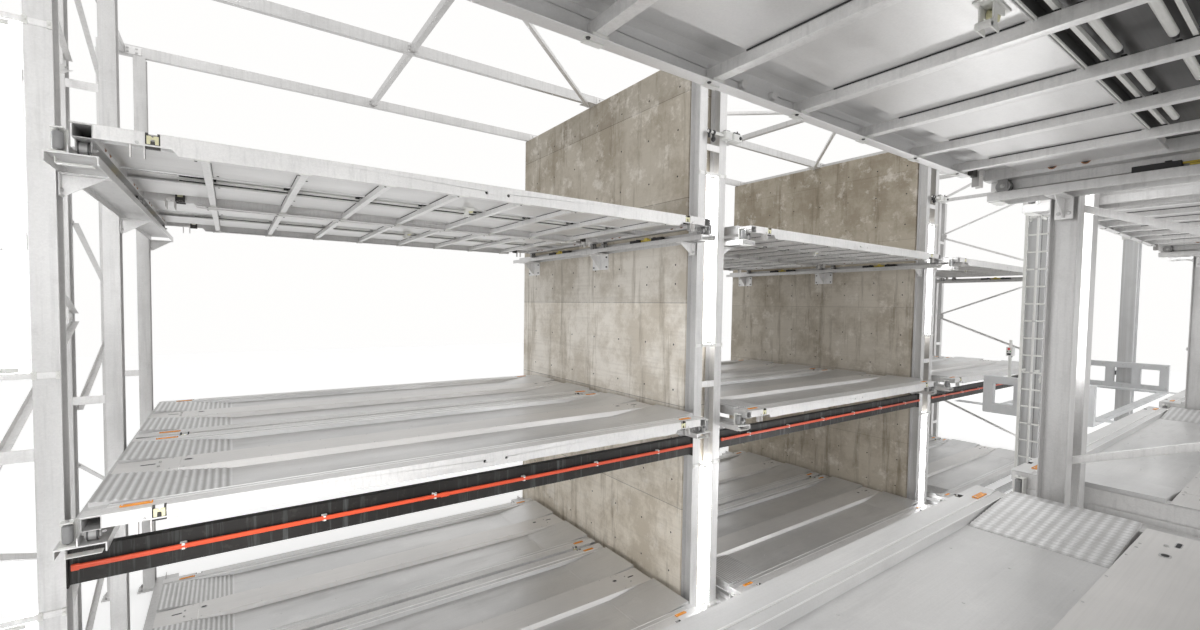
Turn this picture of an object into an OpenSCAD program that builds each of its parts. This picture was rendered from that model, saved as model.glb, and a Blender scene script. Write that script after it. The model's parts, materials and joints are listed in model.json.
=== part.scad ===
// Automatic multi storey car park: a steel rack of car pallets on both sides of an aisle,
// and the crane that travels in the aisle. Millimetres, +X along the aisle, +Z up.
// The origin is on the floor, in the middle of the rack's outline.

/* [Rack] */
// Number of bays along the aisle
bays = 3; // [3:1:6]
// Number of storeys of pallets
storeys = 3; // [2:1:3]
// Distance from one post pair to the next
bay_pitch = 6190; // [6000:10:6600]
// Height from one storey to the next
storey_pitch = 2380; // [2200:10:2600]
// Height of the lowest pallet's top edge above the floor
first_deck_z = 285; // [280:5:320]
// Clear width of the aisle between the pallets
aisle_w = 2770; // [2770:10:3200]
// Distance from one row of pallets to the next row behind it
row_pitch = 2270; // [2260:10:2400]

/* [Posts] */
// Width of a post's flanges, along the aisle
post_w = 130; // [100:5:140]
// Depth of a post, across the aisle
post_d = 160; // [140:5:200]
// Thickness of a post's flanges
post_flange = 9; // [6:1:14]
// Thickness of a post's web
post_web = 6; // [5:1:10]
// Clear gap between the two posts of a pair
pair_gap = 230; // [180:10:240]
// Height of the top of the posts
post_top = 7200; // [7100:10:7600]
// Distance from the aisle to the middle of the front posts
post_setback = 410; // [380:5:450]
// Thickness of the base plates
base_t = 20; // [15:1:30]

/* [Pallets] */
// Length of a pallet
pallet_l = 5460; // [5300:10:5460]
// Width of a pallet
pallet_w = 2200; // [2100:10:2200]
// Depth of a side beam between its stepped ends
side_beam_h = 125; // [110:5:140]
// Depth of a side beam at its stepped ends
side_end_h = 85; // [80:5:95]
// Width of a side beam's top flange
side_flange_w = 130; // [110:5:140]
// Thickness of the side beam's plates
side_t = 6; // [5:1:8]
// Depth of the wheel tracks below the pallet's edge
track_depth = 55; // [40:1:58]
// Width of the raised cover between the wheel tracks
hump_w = 378; // [340:2:440]
// Number of cross members under a pallet
cross_members = 8; // [6:1:10]
// Distance between the outermost cross members
cross_span = 4180; // [4000:10:4300]
// Height from a pallet's running rails to its top edge
rail_drop = 183; // [181:1:190]

/* [Crane] */
// Height of the masts
mast_h = 5750; // [5600:10:6000]
// Size of a mast, along the aisle
mast_l = 300; // [250:10:320]
// Size of a mast, across the aisle
mast_w = 260; // [200:10:300]
// Width of the carriage's end frames
carriage_w = 1490; // [1300:10:1600]
// Height of the carriage's running rails in the position drawn
carriage_z = 2260; // [1000:10:4000]
// Height of the carriage's end frames
carriage_h = 660; // [500:10:700]

/* [Hidden] */
// Fine enough for the round pieces, which are all small
$fn = 32;

// Places along the aisle
rack_l = bays * bay_pitch;
joint_x = [for (i = [0:bays]) (i - bays / 2) * bay_pitch];
inner_joints = [for (i = [1:bays - 1]) joint_x[i]];
end_joints = [joint_x[0], joint_x[bays]];
bay_x = [for (b = [0:bays - 1]) (b + 0.5 - bays / 2) * bay_pitch];
storey_z = [for (s = [0:storeys - 1]) first_deck_z + s * storey_pitch];
middle_storey = floor(storeys / 2);

// Half the distance between the middles of a pair's posts, and from a joint to its outer faces
pair_offset = (pair_gap + post_w) / 2;
pair_face = pair_gap / 2 + post_w;

// Places across the aisle, from its middle: the deep row is on the +Y side, the single row on the
// -Y side, so the aisle is half a row away from the middle of the rack
aisle_y = -row_pitch / 2;
edge_y = aisle_w / 2;
post_front_y = edge_y + post_setback;
post_middle_y = post_front_y + row_pitch;
post_rear_y = post_middle_y + row_pitch;
pallet_front_y = edge_y + pallet_w / 2;
pallet_rear_y = pallet_front_y + row_pitch;
rows_a = [pallet_front_y, pallet_rear_y];
rows_b = [-pallet_front_y];
wall_gap = 25;
wall_front_y = post_front_y + post_d / 2 + wall_gap;
wall_rear_y = post_rear_y + post_d / 2;

// Base plate and its four anchor holes
plate_x = 250;
plate_y = 200;
anchor_x = 90;
anchor_y = 70;
anchor_r = 11;

// Roof steel on top of the posts and walls
roof_beam_h = 140;
roof_beam_w = 60;
roof_beam_t = 8;
brace_w = 50;

// Running rails under the pallets' ends, with an upstand just outside each pallet's end
rail_under = 125;
rail_w = (bay_pitch - pallet_l) / 2 - pair_face + rail_under;
rail_t = 10;
rail_lip = 60;
rail_inset = 30;
guide_gap = 7;
guide_t = 8;
guide_h = 52;

// Pallet details: distances along a pallet are from its end
end_beam_at = 10;
end_beam_w = 94;
end_beam_h = 84;
end_beam_t = 5;
web_start = end_beam_at + end_beam_w;
deck_t = 4;
deck_l = pallet_l - 2 * web_start;
lip_w = 75;
wall_run = 12;
edge_fold = 16;
cover_t = 4;
cover_run = 18;
cover_end = 420;
cross_w = 50;
cross_h = 50;
cross_t = 4;
roller_r = 45;
roller_w = 56;
roller_at = 50;
roller_plate = 8;
notch_from_end = 343;
notch_w = 74;
notch_h = 75;
ramp_l = 745;
ramp_rise = 25;
ramp_foot = 30;
plate_t = 3;

// Crane places: the masts stand at equal distances from the middle of the carriage
crane_x = bay_x[bays - 1];
mast_inner = bay_pitch / 2 + 45;
mast_outer = mast_inner + mast_l;
base_z = 85;
base_h = 255;
base_w = aisle_w - 170;
base_l = 700;
tie_w = 150;
tie_h = 60;
wheel_r = 110;
wheel_gap = 0.5;
wheel_at = 160;
floor_rail_y = 1000;
floor_rail_w = 60;
floor_rail_h = 30;
stop_l = 80;
floor_rail_l = 2 * (crane_x + mast_inner + base_l + stop_l + 40);
stop_h = 190;
carriage_gap = 10;
frame_t = 120;
platform_d = 80;

// Moves pieces placed from the middle of the aisle to the rack's own frame
module from_aisle() {
  translate([0, aisle_y, 0]) children();
}

// An H section standing on z = 0, its flanges facing across the aisle
module h_post(length) {
  linear_extrude(length) {
    for (side = [-1, 1])
      translate([-post_w / 2, side * (post_d - post_flange) / 2 - post_flange / 2])
        square([post_w, post_flange]);
    square([post_web, post_d - 2 * post_flange + 0.2], center = true);
  }
}

// A pair of posts at each of the given joints
module post_row(y, joints) {
  for (x = joints, side = [-1, 1])
    translate([x + side * pair_offset, y, base_t])
      h_post(post_top - base_t);
}

// One base plate with its four anchor holes
module base_plate() {
  difference() {
    translate([-plate_x / 2, -plate_y / 2, 0]) cube([plate_x, plate_y, base_t]);
    for (sx = [-1, 1], sy = [-1, 1])
      translate([sx * anchor_x, sy * anchor_y, -1]) cylinder(h = base_t + 2, r = anchor_r);
  }
}

module base_plate_row(y, joints) {
  for (x = joints, side = [-1, 1])
    translate([x + side * pair_offset, y, 0]) base_plate();
}

module base_plates() {
  color("silver") from_aisle() {
    base_plate_row(post_front_y, joint_x);
    base_plate_row(post_middle_y, end_joints);
    base_plate_row(post_rear_y, end_joints);
    base_plate_row(-post_front_y, joint_x);
    base_plate_row(-post_middle_y, joint_x);
  }
}

module posts_a_front() { color("silver") from_aisle() post_row(post_front_y, joint_x); }
module posts_a_middle() { color("silver") from_aisle() post_row(post_middle_y, end_joints); }
module posts_a_rear() { color("silver") from_aisle() post_row(post_rear_y, end_joints); }
module posts_b_front() { color("silver") from_aisle() post_row(-post_front_y, joint_x); }
module posts_b_rear() { color("silver") from_aisle() post_row(-post_middle_y, joint_x); }

// Battens join the two posts of a pair, above the middle decks and high up. The posts without
// lamps have a lower one too
batten_h = 80;
batten_t = 8;
batten_low = 600;
batten_rise = 305;
batten_rise_top = 935;
front_batten_z = concat(
  [for (s = [1:1:storeys - 2]) storey_z[s] + batten_rise],
  [storey_z[storeys - 1] + batten_rise_top]
);
rear_batten_z = concat([batten_low], front_batten_z);
module batten_row(y, joints, heights) {
  for (x = joints, z = heights)
    translate([x - pair_gap / 2, y - batten_t / 2, z])
      cube([pair_gap, batten_t, batten_h]);
}

// The lamps between the front posts, each with a strap across the posts' flanges at both ends
lamp_low = [first_deck_z - 245, storey_z[1] + 825];
lamp_l = [1950, 2220];
strap_h = 40;
strap_t = 4;
module lamp_straps(side) {
  face_y = side * (post_front_y - post_d / 2 - strap_t / 2);
  for (x = joint_x, i = [0, 1], end = [0, lamp_l[i] - strap_h])
    translate([x - pair_face, face_y - strap_t / 2, lamp_low[i] + end])
      cube([2 * pair_face, strap_t, strap_h]);
}
module battens() {
  front_batten = post_front_y - post_d / 2 + batten_t / 2;
  color("silver") from_aisle() {
    batten_row(front_batten, joint_x, front_batten_z);
    batten_row(post_middle_y - post_d / 2 + batten_t / 2, end_joints, rear_batten_z);
    batten_row(post_rear_y - post_d / 2 + batten_t / 2, end_joints, rear_batten_z);
    batten_row(-front_batten, joint_x, front_batten_z);
    batten_row(-post_middle_y + post_d / 2 - batten_t / 2, joint_x, rear_batten_z);
    for (side = [-1, 1]) lamp_straps(side);
  }
}

// Concrete fin walls behind the front posts of the inner joints
module fin_wall(x) {
  translate([x - pair_face, wall_front_y, 0])
    cube([2 * pair_face, wall_rear_y - wall_front_y, post_top]);
}
module fin_wall_left() { color("tan") from_aisle() fin_wall(inner_joints[0]); }
module fin_wall_right() {
  color("tan") from_aisle()
    for (i = [1:len(inner_joints) - 1]) fin_wall(inner_joints[i]);
}

// An angle from one point of a frame to another, in a plane across the rack: one leg lies on the
// posts' flanges and the other one points along the aisle
angle_t = 5;
module frame_bar(from, to) {
  run = to - from;
  translate([0, from[0], from[1]])
    rotate([atan2(run[1], run[0]), 0, 0])
      translate([0, 0, -brace_w / 2]) {
        cube([angle_t, norm(run), brace_w]);
        cube([brace_w, norm(run), angle_t]);
      }
}

// K bracing between two post lines: two bars a storey that meet on the far post
k_low = 260;
k_meet = 1170;
k_apart = 80;
k_high = 2080;
k_overlap = 40;
module k_bracing(y_near, y_far) {
  reach = post_d / 2 - k_overlap;
  near = y_near + sign(y_far - y_near) * reach;
  far = y_far - sign(y_far - y_near) * reach;
  for (z = storey_z) {
    frame_bar([near, z + k_low], [far, z + k_meet - k_apart / 2]);
    frame_bar([near, z + k_high], [far, z + k_meet + k_apart / 2]);
  }
}
module end_bracing_a() {
  color("gainsboro") from_aisle()
    both_ends()
      translate([end_joints[0] - pair_gap / 2, 0, 0]) {
        k_bracing(post_front_y, post_middle_y);
        k_bracing(post_middle_y, post_rear_y);
      }
}
module frame_bracing_b() {
  color("gainsboro") from_aisle()
    for (x = joint_x)
      translate([x - pair_gap / 2, 0, 0]) k_bracing(-post_front_y, -post_middle_y);
}

// Front beams below the middle storey, between the post pairs
front_beam_h = 235;
front_beam_w = 70;
front_beam_t = 8;
front_beam_top = -305;
end_plate_t = 10;
end_plate_reach = 15;
front_beam_inset = 20;
front_beam_y = post_front_y - post_d / 2 + front_beam_inset;
module front_beam(x) {
  l = bay_pitch - 2 * pair_face - 2 * end_plate_t;
  translate([x, front_beam_y, storey_z[middle_storey] + front_beam_top - front_beam_h]) {
    difference() {
      translate([-l / 2, 0, 0]) cube([l, front_beam_w, front_beam_h]);
      translate([-l / 2 - 1, front_beam_t, front_beam_t])
        cube([l + 2, front_beam_w, front_beam_h - 2 * front_beam_t]);
    }
    for (side = [-1, 1])
      translate([side * (l + end_plate_t) / 2 - end_plate_t / 2, -front_beam_inset, -end_plate_reach])
        cube([end_plate_t, post_d, front_beam_h + 2 * end_plate_reach]);
  }
}
module front_beams() { color("silver") from_aisle() for (x = bay_x) front_beam(x); }

// Conductor rail in front of the front beams, held by clips
conductor_h = 34;
conductor_t = 18;
conductor_gap = 30;
clip_t = 22;
clip_l = 40;
clip_h = 50;
clip_pitch = 900;
conductor_z = storey_z[middle_storey] - 415;
module conductor_rail() {
  l = bay_pitch - 2 * pair_face - 2 * conductor_gap;
  color("orangered") from_aisle()
    for (x = bay_x)
      translate([x - l / 2, front_beam_y - clip_t - conductor_t, conductor_z - conductor_h / 2])
        cube([l, conductor_t, conductor_h]);
}
module rail_clips() {
  color("white") from_aisle()
    for (x = bay_x, i = [-2.5:1:2.5])
      translate([x + i * clip_pitch - clip_l / 2, front_beam_y - clip_t, conductor_z - clip_h / 2])
        cube([clip_l, clip_t, clip_h]);
}

// Running rails across the rack, under both ends of the pallets
module pallet_rail(y0, y1) {
  guide = (bay_pitch - pallet_l) / 2 - pair_face - guide_gap;
  translate([0, y1, 0])
    rotate([90, 0, 0])
      linear_extrude(y1 - y0)
        polygon([
          [0, -rail_lip], [rail_t, -rail_lip], [rail_t, -rail_t], [rail_w - rail_t, -rail_t],
          [rail_w - rail_t, -rail_lip], [rail_w, -rail_lip], [rail_w, 0],
          [guide, 0], [guide, guide_h], [guide - guide_t, guide_h], [guide - guide_t, 0], [0, 0]
        ]);
}
module pallet_rail_set(y0, y1) {
  color("silver") from_aisle()
    for (x = bay_x, z = storey_z, side = [0, 1])
      translate([x, 0, z - rail_drop])
        mirror([side, 0, 0])
          translate([-bay_pitch / 2 + pair_face, 0, 0]) pallet_rail(y0, y1);
}
module pallet_rails_a() { pallet_rail_set(edge_y + rail_inset, post_rear_y + post_d / 2); }
module pallet_rails_b() { pallet_rail_set(-post_middle_y - post_d / 2, -edge_y - rail_inset); }

// Roof channels along the aisle, open to the side
module roof_beam(y) {
  translate([-rack_l / 2 - pair_face, y - roof_beam_w / 2, post_top])
    difference() {
      cube([rack_l + 2 * pair_face, roof_beam_w, roof_beam_h]);
      translate([-1, roof_beam_t, roof_beam_t])
        cube([rack_l + 2 * pair_face + 2, roof_beam_w, roof_beam_h - 2 * roof_beam_t]);
    }
}
module roof_beams() {
  color("silver") from_aisle()
    for (y = [post_front_y, post_middle_y, post_rear_y, -post_front_y, -post_middle_y])
      roof_beam(y);
}

// Hollow roof members across the aisle, closed at their ends by the channels
cross_beam_w = 70;
cross_beam_h = 90;
cross_beam_t = 5;
cross_beam_rise = 25;
module roof_cross_beam(x, y0, y1) {
  start = y0 - roof_beam_w / 2 + roof_beam_t;
  l = y1 - roof_beam_w / 2 - start;
  translate([x - cross_beam_w / 2, start, post_top + cross_beam_rise])
    difference() {
      cube([cross_beam_w, l, cross_beam_h]);
      translate([cross_beam_t, -1, cross_beam_t])
        cube([cross_beam_w - 2 * cross_beam_t, l + 2, cross_beam_h - 2 * cross_beam_t]);
    }
}
module roof_cross_beams() {
  color("silver") from_aisle() {
    for (x = concat(joint_x, bay_x)) {
      roof_cross_beam(x, post_front_y, post_middle_y);
      roof_cross_beam(x, post_middle_y, post_rear_y);
      roof_cross_beam(x, -post_middle_y, -post_front_y);
    }
    for (x = joint_x) roof_cross_beam(x, -post_front_y, post_front_y);
  }
}

// Plan bracing under the roof channels: from the front line at the middle of each bay to the
// middle line beside each joint
module roof_bracing() {
  apart = 60;
  joint_gap = 100;
  run_x = bay_pitch / 2 - pair_face - apart - joint_gap;
  color("gainsboro") from_aisle()
    for (x = bay_x, side = [-1, 1])
      translate([x + side * apart, post_front_y, post_top - brace_w])
        rotate([0, 0, atan2(row_pitch, side * run_x)])
          translate([0, -brace_w / 2, 0]) cube([norm([run_x, row_pitch]), brace_w, brace_w]);
}

// Side beam of a pallet at y = 0, its web outwards to -Y and its top edge at z = 0. The web ends
// beside the end beams, the top flange runs over them to the pallet's ends
web_step = 475;
web_slope = 32;
foot_w = 60;
lift_hole_x = 105;
lift_hole_z = -70;
lift_hole_r = 14;
notch_depth = 41;
module side_web() {
  half = pallet_l / 2;
  rotate([90, 0, 0])
    translate([0, 0, -side_t])
      linear_extrude(side_t)
        polygon([
          [-half + web_start, 0], [-half + web_start, -side_end_h], [-half + web_step, -side_end_h],
          [-half + web_step + web_slope, -side_beam_h], [half - web_step - web_slope, -side_beam_h],
          [half - web_step, -side_end_h], [half - web_start, -side_end_h], [half - web_start, 0]
        ]);
}
module side_beam() {
  half = pallet_l / 2;
  foot_start = web_step + web_slope;
  difference() {
    union() {
      side_web();
      translate([-half, 0, -side_t]) cube([pallet_l, side_flange_w, side_t]);
      translate([-half + foot_start, 0, -side_beam_h])
        cube([pallet_l - 2 * foot_start, foot_w, side_t]);
    }
    for (side = [-1, 1]) {
      translate([side * (half - notch_from_end - notch_w / 2) - notch_w / 2, -1, -notch_h])
        cube([notch_w, notch_depth, notch_h + 1]);
      translate([side * lift_hole_x, side_t + 1, lift_hole_z])
        rotate([90, 0, 0]) cylinder(h = side_t + 2, r = lift_hole_r);
    }
  }
}

// Runs its children at each pallet of the given rows, at the pallet's top edge
module each_pallet(rows) {
  for (x = bay_x, y = rows, z = storey_z)
    translate([x, y, z]) children();
}
module both_sides() {
  children();
  mirror([0, 1, 0]) children();
}
module both_ends() {
  children();
  mirror([1, 0, 0]) children();
}

module side_beam_set(rows) {
  color("silver") from_aisle()
    each_pallet(rows) both_sides() translate([0, -pallet_w / 2, 0]) side_beam();
}
module side_beams_a() { side_beam_set(rows_a); }
module side_beams_b() { side_beam_set(rows_b); }

// Box beam across a pallet's end, open at its own ends, which show at the pallet's corners
module end_beam() {
  translate([pallet_l / 2 - web_start, -pallet_w / 2, -side_t - end_beam_h])
    difference() {
      cube([end_beam_w, pallet_w, end_beam_h]);
      translate([end_beam_t, -1, end_beam_t])
        cube([end_beam_w - 2 * end_beam_t, pallet_w + 2, end_beam_h - 2 * end_beam_t]);
    }
}
module end_beams() {
  color("silver") from_aisle() each_pallet(concat(rows_a, rows_b)) both_ends() end_beam();
}

// Channel under the deck, its flanges up against the track sheets
module cross_member() {
  inner = pallet_w - 2 * side_t;
  translate([-cross_w / 2, -inner / 2, -track_depth - deck_t - cross_h])
    difference() {
      cube([cross_w, inner, cross_h]);
      translate([cross_t, -1, cross_t]) cube([cross_w - 2 * cross_t, inner + 2, cross_h]);
    }
}
cross_pitch = cross_span / (cross_members - 1);
cross_x = [for (i = [0:cross_members - 1]) i * cross_pitch - cross_span / 2];
module cross_member_set(rows) {
  color("gainsboro") from_aisle()
    each_pallet(rows)
      for (x = cross_x) translate([x, 0, 0]) cross_member();
}
module cross_members_a() { cross_member_set(rows_a); }
module cross_members_b() { cross_member_set(rows_b); }

// Track sheet of one side, across the pallet: a shelf that reaches under the side beam's flange, a
// steep wall, the track's floor, and a fold at the inner edge that is cut out at the cross members
under_flange = 70;
shelf_end = pallet_w / 2 - side_flange_w - lip_w;
wall_foot = shelf_end - wall_run;
sheet_edge = hump_w / 2 - 14;
wall_shift = 3;
fold_play = 2;
module track_profile() {
  polygon([
    [sheet_edge, -track_depth], [wall_foot, -track_depth], [shelf_end, -side_t],
    [pallet_w / 2 - under_flange, -side_t], [pallet_w / 2 - under_flange, -side_t - deck_t],
    [shelf_end + wall_shift, -side_t - deck_t], [wall_foot + wall_shift, -track_depth - deck_t],
    [sheet_edge, -track_depth - deck_t]
  ]);
}
module fold_comb() {
  difference() {
    translate([-deck_l / 2, -track_depth - edge_fold]) square([deck_l, edge_fold]);
    for (x = cross_x)
      translate([x - cross_w / 2 - fold_play, -track_depth - edge_fold - 1])
        square([cross_w + 2 * fold_play, edge_fold - deck_t + 1]);
  }
}
module track_sheet() {
  rotate([90, 0, 90])
    translate([0, 0, -deck_l / 2])
      linear_extrude(deck_l) track_profile();
  translate([0, sheet_edge + deck_t, 0])
    rotate([90, 0, 0])
      linear_extrude(deck_t) fold_comb();
}
module deck_set(rows) {
  color("lightgray") from_aisle() each_pallet(rows) both_sides() track_sheet();
}
module decks_a() { deck_set(rows_a); }
module decks_b() { deck_set(rows_b); }

// Cover over the gap between the two track sheets: it stands on their inner edges, and its two
// end pieces are lower and lie on the end beams
module cover_arch(top) {
  half = hump_w / 2;
  foot = half + cover_run;
  polygon([
    [-foot, -track_depth], [-half, top], [half, top], [foot, -track_depth],
    [foot - cover_t, -track_depth], [half - cover_t, top - cover_t],
    [-half + cover_t, top - cover_t], [-foot + cover_t, -track_depth]
  ]);
}
module hump_cover() {
  gap = 2;
  top_l = pallet_l - 2 * cover_end;
  rotate([90, 0, 90])
    translate([0, 0, -top_l / 2])
      linear_extrude(top_l) cover_arch(0);
  both_ends() {
    rotate([90, 0, 90])
      translate([0, 0, top_l / 2 + gap])
        linear_extrude(cover_end - gap - web_start) cover_arch(cover_t - side_t);
    translate([pallet_l / 2 - web_start - 1, -hump_w / 2, -side_t])
      cube([web_start - end_beam_at + 1, hump_w, cover_t]);
  }
}
module hump_covers() {
  color("gainsboro") from_aisle() each_pallet(concat(rows_a, rows_b)) hump_cover();
}

// Ramps in the wheel tracks at the pallets' ends: a bent sheet whose foot lies on the track's
// floor and whose folded edge stands on the end beam. At one end of each pallet the sheet is
// ribbed, and every rib follows the slope
rib_pitch = 48;
rib_h = 10;
ribs = 14;
first_rib = 70;
ramp_play = 5;
function ramp_z(d) = let (fall = ramp_rise + track_depth - plate_t)
  ramp_rise - (d - end_beam_at) * fall / (ramp_l - end_beam_at);
function rib_points(d) = let (ridge = d + rib_pitch / 2) [
    [d, ramp_z(d)], [ridge, ramp_z(ridge) + rib_h]
  ];
module ramp(rib_count) {
  inner = hump_w / 2 + cover_run + ramp_play;
  w = wall_foot - ramp_play - inner;
  last = first_rib + rib_count * rib_pitch;
  rib_line = [for (i = [0:1:rib_count - 1], p = rib_points(first_rib + i * rib_pitch)) p];
  rib_end = rib_count > 0 ? [[last, ramp_z(last)]] : [];
  profile = concat(
    [[end_beam_at, -side_t], [end_beam_at, ramp_rise]],
    rib_line,
    rib_end,
    [
      [ramp_l, plate_t - track_depth], [ramp_l + ramp_foot, plate_t - track_depth],
      [ramp_l + ramp_foot, -track_depth], [ramp_l - 1, -track_depth],
      [end_beam_at + plate_t, ramp_z(end_beam_at + plate_t) - plate_t],
      [end_beam_at + plate_t, -side_t]
    ]
  );
  translate([-pallet_l / 2, inner + w, 0])
    rotate([90, 0, 0]) linear_extrude(w) polygon(profile);
}
module ribbed_plates() {
  color("lightgray") from_aisle() {
    each_pallet(rows_a) both_sides() ramp(ribs);
    each_pallet(rows_b) mirror([1, 0, 0]) both_sides() ramp(ribs);
  }
}
module end_ramps() {
  color("lightgray") from_aisle() {
    each_pallet(rows_a) mirror([1, 0, 0]) both_sides() ramp(0);
    each_pallet(rows_b) both_sides() ramp(0);
  }
}

// Latch block behind the notch of a side beam, and the forked bracket that hangs beside it
block_w = 34;
block_low = 98;
block_slot = 46;
block_floor = 50;
fork_at = 267;
fork_l = 75;
fork_w = 45;
fork_top = 55;
fork_low = 165;
leg_t = 8;
module latch_block() {
  x = pallet_l / 2 - notch_from_end - notch_w / 2;
  translate([x, -pallet_w / 2 + side_t + block_w, 0])
    rotate([90, 0, 0])
      linear_extrude(block_w)
        polygon([
          [-notch_w / 2, 0], [-notch_w / 2, -block_low], [notch_w / 2, -block_low],
          [notch_w / 2, 0], [block_slot / 2, 0], [block_slot / 2, -block_floor],
          [-block_slot / 2, -block_floor], [-block_slot / 2, 0]
        ]);
}
module latch_fork() {
  translate([pallet_l / 2 - fork_at - fork_l, -pallet_w / 2 + side_t + fork_w, 0])
    rotate([90, 0, 0])
      linear_extrude(fork_w)
        polygon([
          [0, -fork_top], [fork_l, -fork_top], [fork_l, -fork_low], [fork_l - leg_t, -fork_low],
          [fork_l - leg_t, -side_end_h], [leg_t, -side_end_h], [leg_t, -fork_low], [0, -fork_low]
        ]);
}
module latch_blocks() {
  color([0.25, 0.25, 0.2]) from_aisle()
    each_pallet(concat(rows_a, rows_b)) both_sides() both_ends() {
      latch_block();
      latch_fork();
    }
}

// Orange reflector on the flange beside the latch block
reflector_at = 175;
reflector_l = 165;
reflector_w = 38;
reflector_inset = 88;
reflector_h = 8;
module reflector() {
  translate([pallet_l / 2 - reflector_at - reflector_l, -pallet_w / 2 + reflector_inset, 0])
    cube([reflector_l, reflector_w, reflector_h]);
}
module reflectors() {
  color("darkorange") from_aisle()
    each_pallet(concat(rows_a, rows_b)) both_sides() both_ends() reflector();
}

// Roller with its axle and the two plates that hang from the end beam
roller_inset = 110;
roller_play = 3;
axle_r = 8;
plate_half = 30;
plate_low = 18;
module pallet_roller() {
  drop = side_t + end_beam_h;
  axle_z = -rail_drop + roller_r;
  plate_x = roller_w / 2 + roller_play + roller_plate / 2;
  translate([pallet_l / 2 - roller_at, -pallet_w / 2 + roller_inset, 0]) {
    translate([0, 0, axle_z])
      rotate([0, 90, 0]) {
        cylinder(h = roller_w, r = roller_r, center = true);
        cylinder(h = 2 * plate_x + roller_plate, r = axle_r, center = true);
      }
    for (side = [-1, 1])
      translate([side * plate_x - roller_plate / 2, -plate_half, axle_z - plate_low])
        cube([roller_plate, 2 * plate_half, -drop - axle_z + plate_low]);
  }
}
module pallet_rollers() {
  color("dimgray") from_aisle()
    each_pallet(concat(rows_a, rows_b)) both_sides() both_ends() pallet_roller();
}

// Tube lamp behind its straps: a tray that opens to the aisle, an end block at each end of it,
// and the tube between the blocks
tube_r = 16;
tube_y = 19;
tray_play = 10;
tray_slant = 47;
tray_lip = 7;
tray_fold = 3;
tray_depth = 40;
tray_t = 4;
end_block = 60;
module tube_lamp(l) {
  mouth = pair_gap / 2 - tray_play;
  back = mouth - tray_slant;
  inside = back - tray_fold;
  linear_extrude(l)
    polygon([
      [-mouth, 0], [tray_lip - mouth, 0], [-inside, tray_depth - tray_t],
      [inside, tray_depth - tray_t], [mouth - tray_lip, 0], [mouth, 0],
      [back, tray_depth], [-back, tray_depth]
    ]);
  for (z = [0, l - end_block])
    translate([-inside, 0, z]) cube([2 * inside, tray_depth - tray_t / 2, end_block]);
  translate([0, tube_y, end_block - 1]) cylinder(h = l - 2 * end_block + 2, r = tube_r);
}
module tube_lamps() {
  color("white") from_aisle()
    for (x = joint_x, i = [0, 1], side = [0, 1])
      mirror([0, side, 0])
        translate([x, post_front_y - post_d / 2, lamp_low[i]]) tube_lamp(lamp_l[i]);
}

// Sensor boxes with a round arm on the front posts
sensor_z = 6150;
sensor_w = 120;
sensor_d = 90;
sensor_overlap = 50;
arm_start = 150;
arm_r = 18;
module sensor_units() {
  face_y = post_front_y - post_d / 2;
  box_x = pair_offset - sensor_overlap;
  color("gray") from_aisle()
    for (x = inner_joints) {
      translate([x + box_x, face_y - sensor_d, sensor_z]) cube([sensor_w, sensor_d, sensor_d]);
      translate([x - arm_start, face_y - sensor_d / 2, sensor_z + sensor_d / 2])
        rotate([0, 90, 0]) cylinder(h = arm_start + box_x + sensor_w / 2, r = arm_r);
    }
}

// Floor rails of the crane with a stop at each end
module crane_rails() {
  color("dimgray") from_aisle()
    for (side = [-1, 1])
      translate([0, side * floor_rail_y, 0]) {
        translate([-floor_rail_l / 2, -floor_rail_w / 2, 0])
          cube([floor_rail_l, floor_rail_w, floor_rail_h]);
        for (end = [-1, 1])
          translate([end * (floor_rail_l - stop_l) / 2 - stop_l / 2, -floor_rail_w / 2, 0])
            cube([stop_l, floor_rail_w, stop_h]);
      }
}

// Crane base: a wheeled frame under each mast, open below, with a pair of bearing plates
// for each wheel
shell_t = 12;
wheel_w = 50;
hub_r = 22;
bearing_l = 260;
bearing_t = 10;
bearing_gap = 70;
module crane_wheel() {
  translate([0, 0, floor_rail_h + wheel_gap + wheel_r])
    rotate([90, 0, 0]) {
      cylinder(h = wheel_w, r = wheel_r, center = true);
      cylinder(h = bearing_gap + 2 * bearing_t, r = hub_r, center = true);
    }
  for (side = [-1, 1])
    translate([
      -bearing_l / 2, side * (bearing_gap + bearing_t) / 2 - bearing_t / 2, base_z
    ])
      cube([bearing_l, bearing_t, base_h - shell_t + 1]);
}
module base_shell() {
  translate([mast_inner, -base_w / 2, base_z])
    difference() {
      cube([base_l, base_w, base_h]);
      translate([shell_t, shell_t, -1])
        cube([base_l - 2 * shell_t, base_w - 2 * shell_t, base_h - shell_t + 1]);
    }
}
module crane_base() {
  color([0.55, 0.56, 0.58]) from_aisle()
    translate([crane_x, 0, 0]) both_ends() {
      base_shell();
      for (x = [mast_inner + wheel_at, mast_inner + base_l - wheel_at], side = [-1, 1])
        translate([x, side * floor_rail_y, 0]) crane_wheel();
    }
}

// Two low ties that keep the wheeled frames apart, under the level of the pallet rails
tie_overlap = 200;
module base_ties() {
  half = mast_inner + tie_overlap;
  color([0.55, 0.56, 0.58]) from_aisle()
    for (side = [-1, 1])
      translate([crane_x - half, side * (base_w - tie_w) / 2 - tie_w / 2, base_z - tie_h])
        cube([2 * half, tie_w, tie_h]);
}

// Masts: box columns that stand on the base and are closed by the head boxes
mast_t = 10;
module masts() {
  l = mast_h - base_z - base_h;
  color([0.62, 0.63, 0.65]) from_aisle()
    translate([crane_x, 0, base_z + base_h]) both_ends()
      translate([mast_inner, -mast_w / 2, 0])
        difference() {
          cube([mast_l, mast_w, l]);
          translate([mast_t, mast_t, -1])
            cube([mast_l - 2 * mast_t, mast_w - 2 * mast_t, l + 2]);
        }
}

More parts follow.
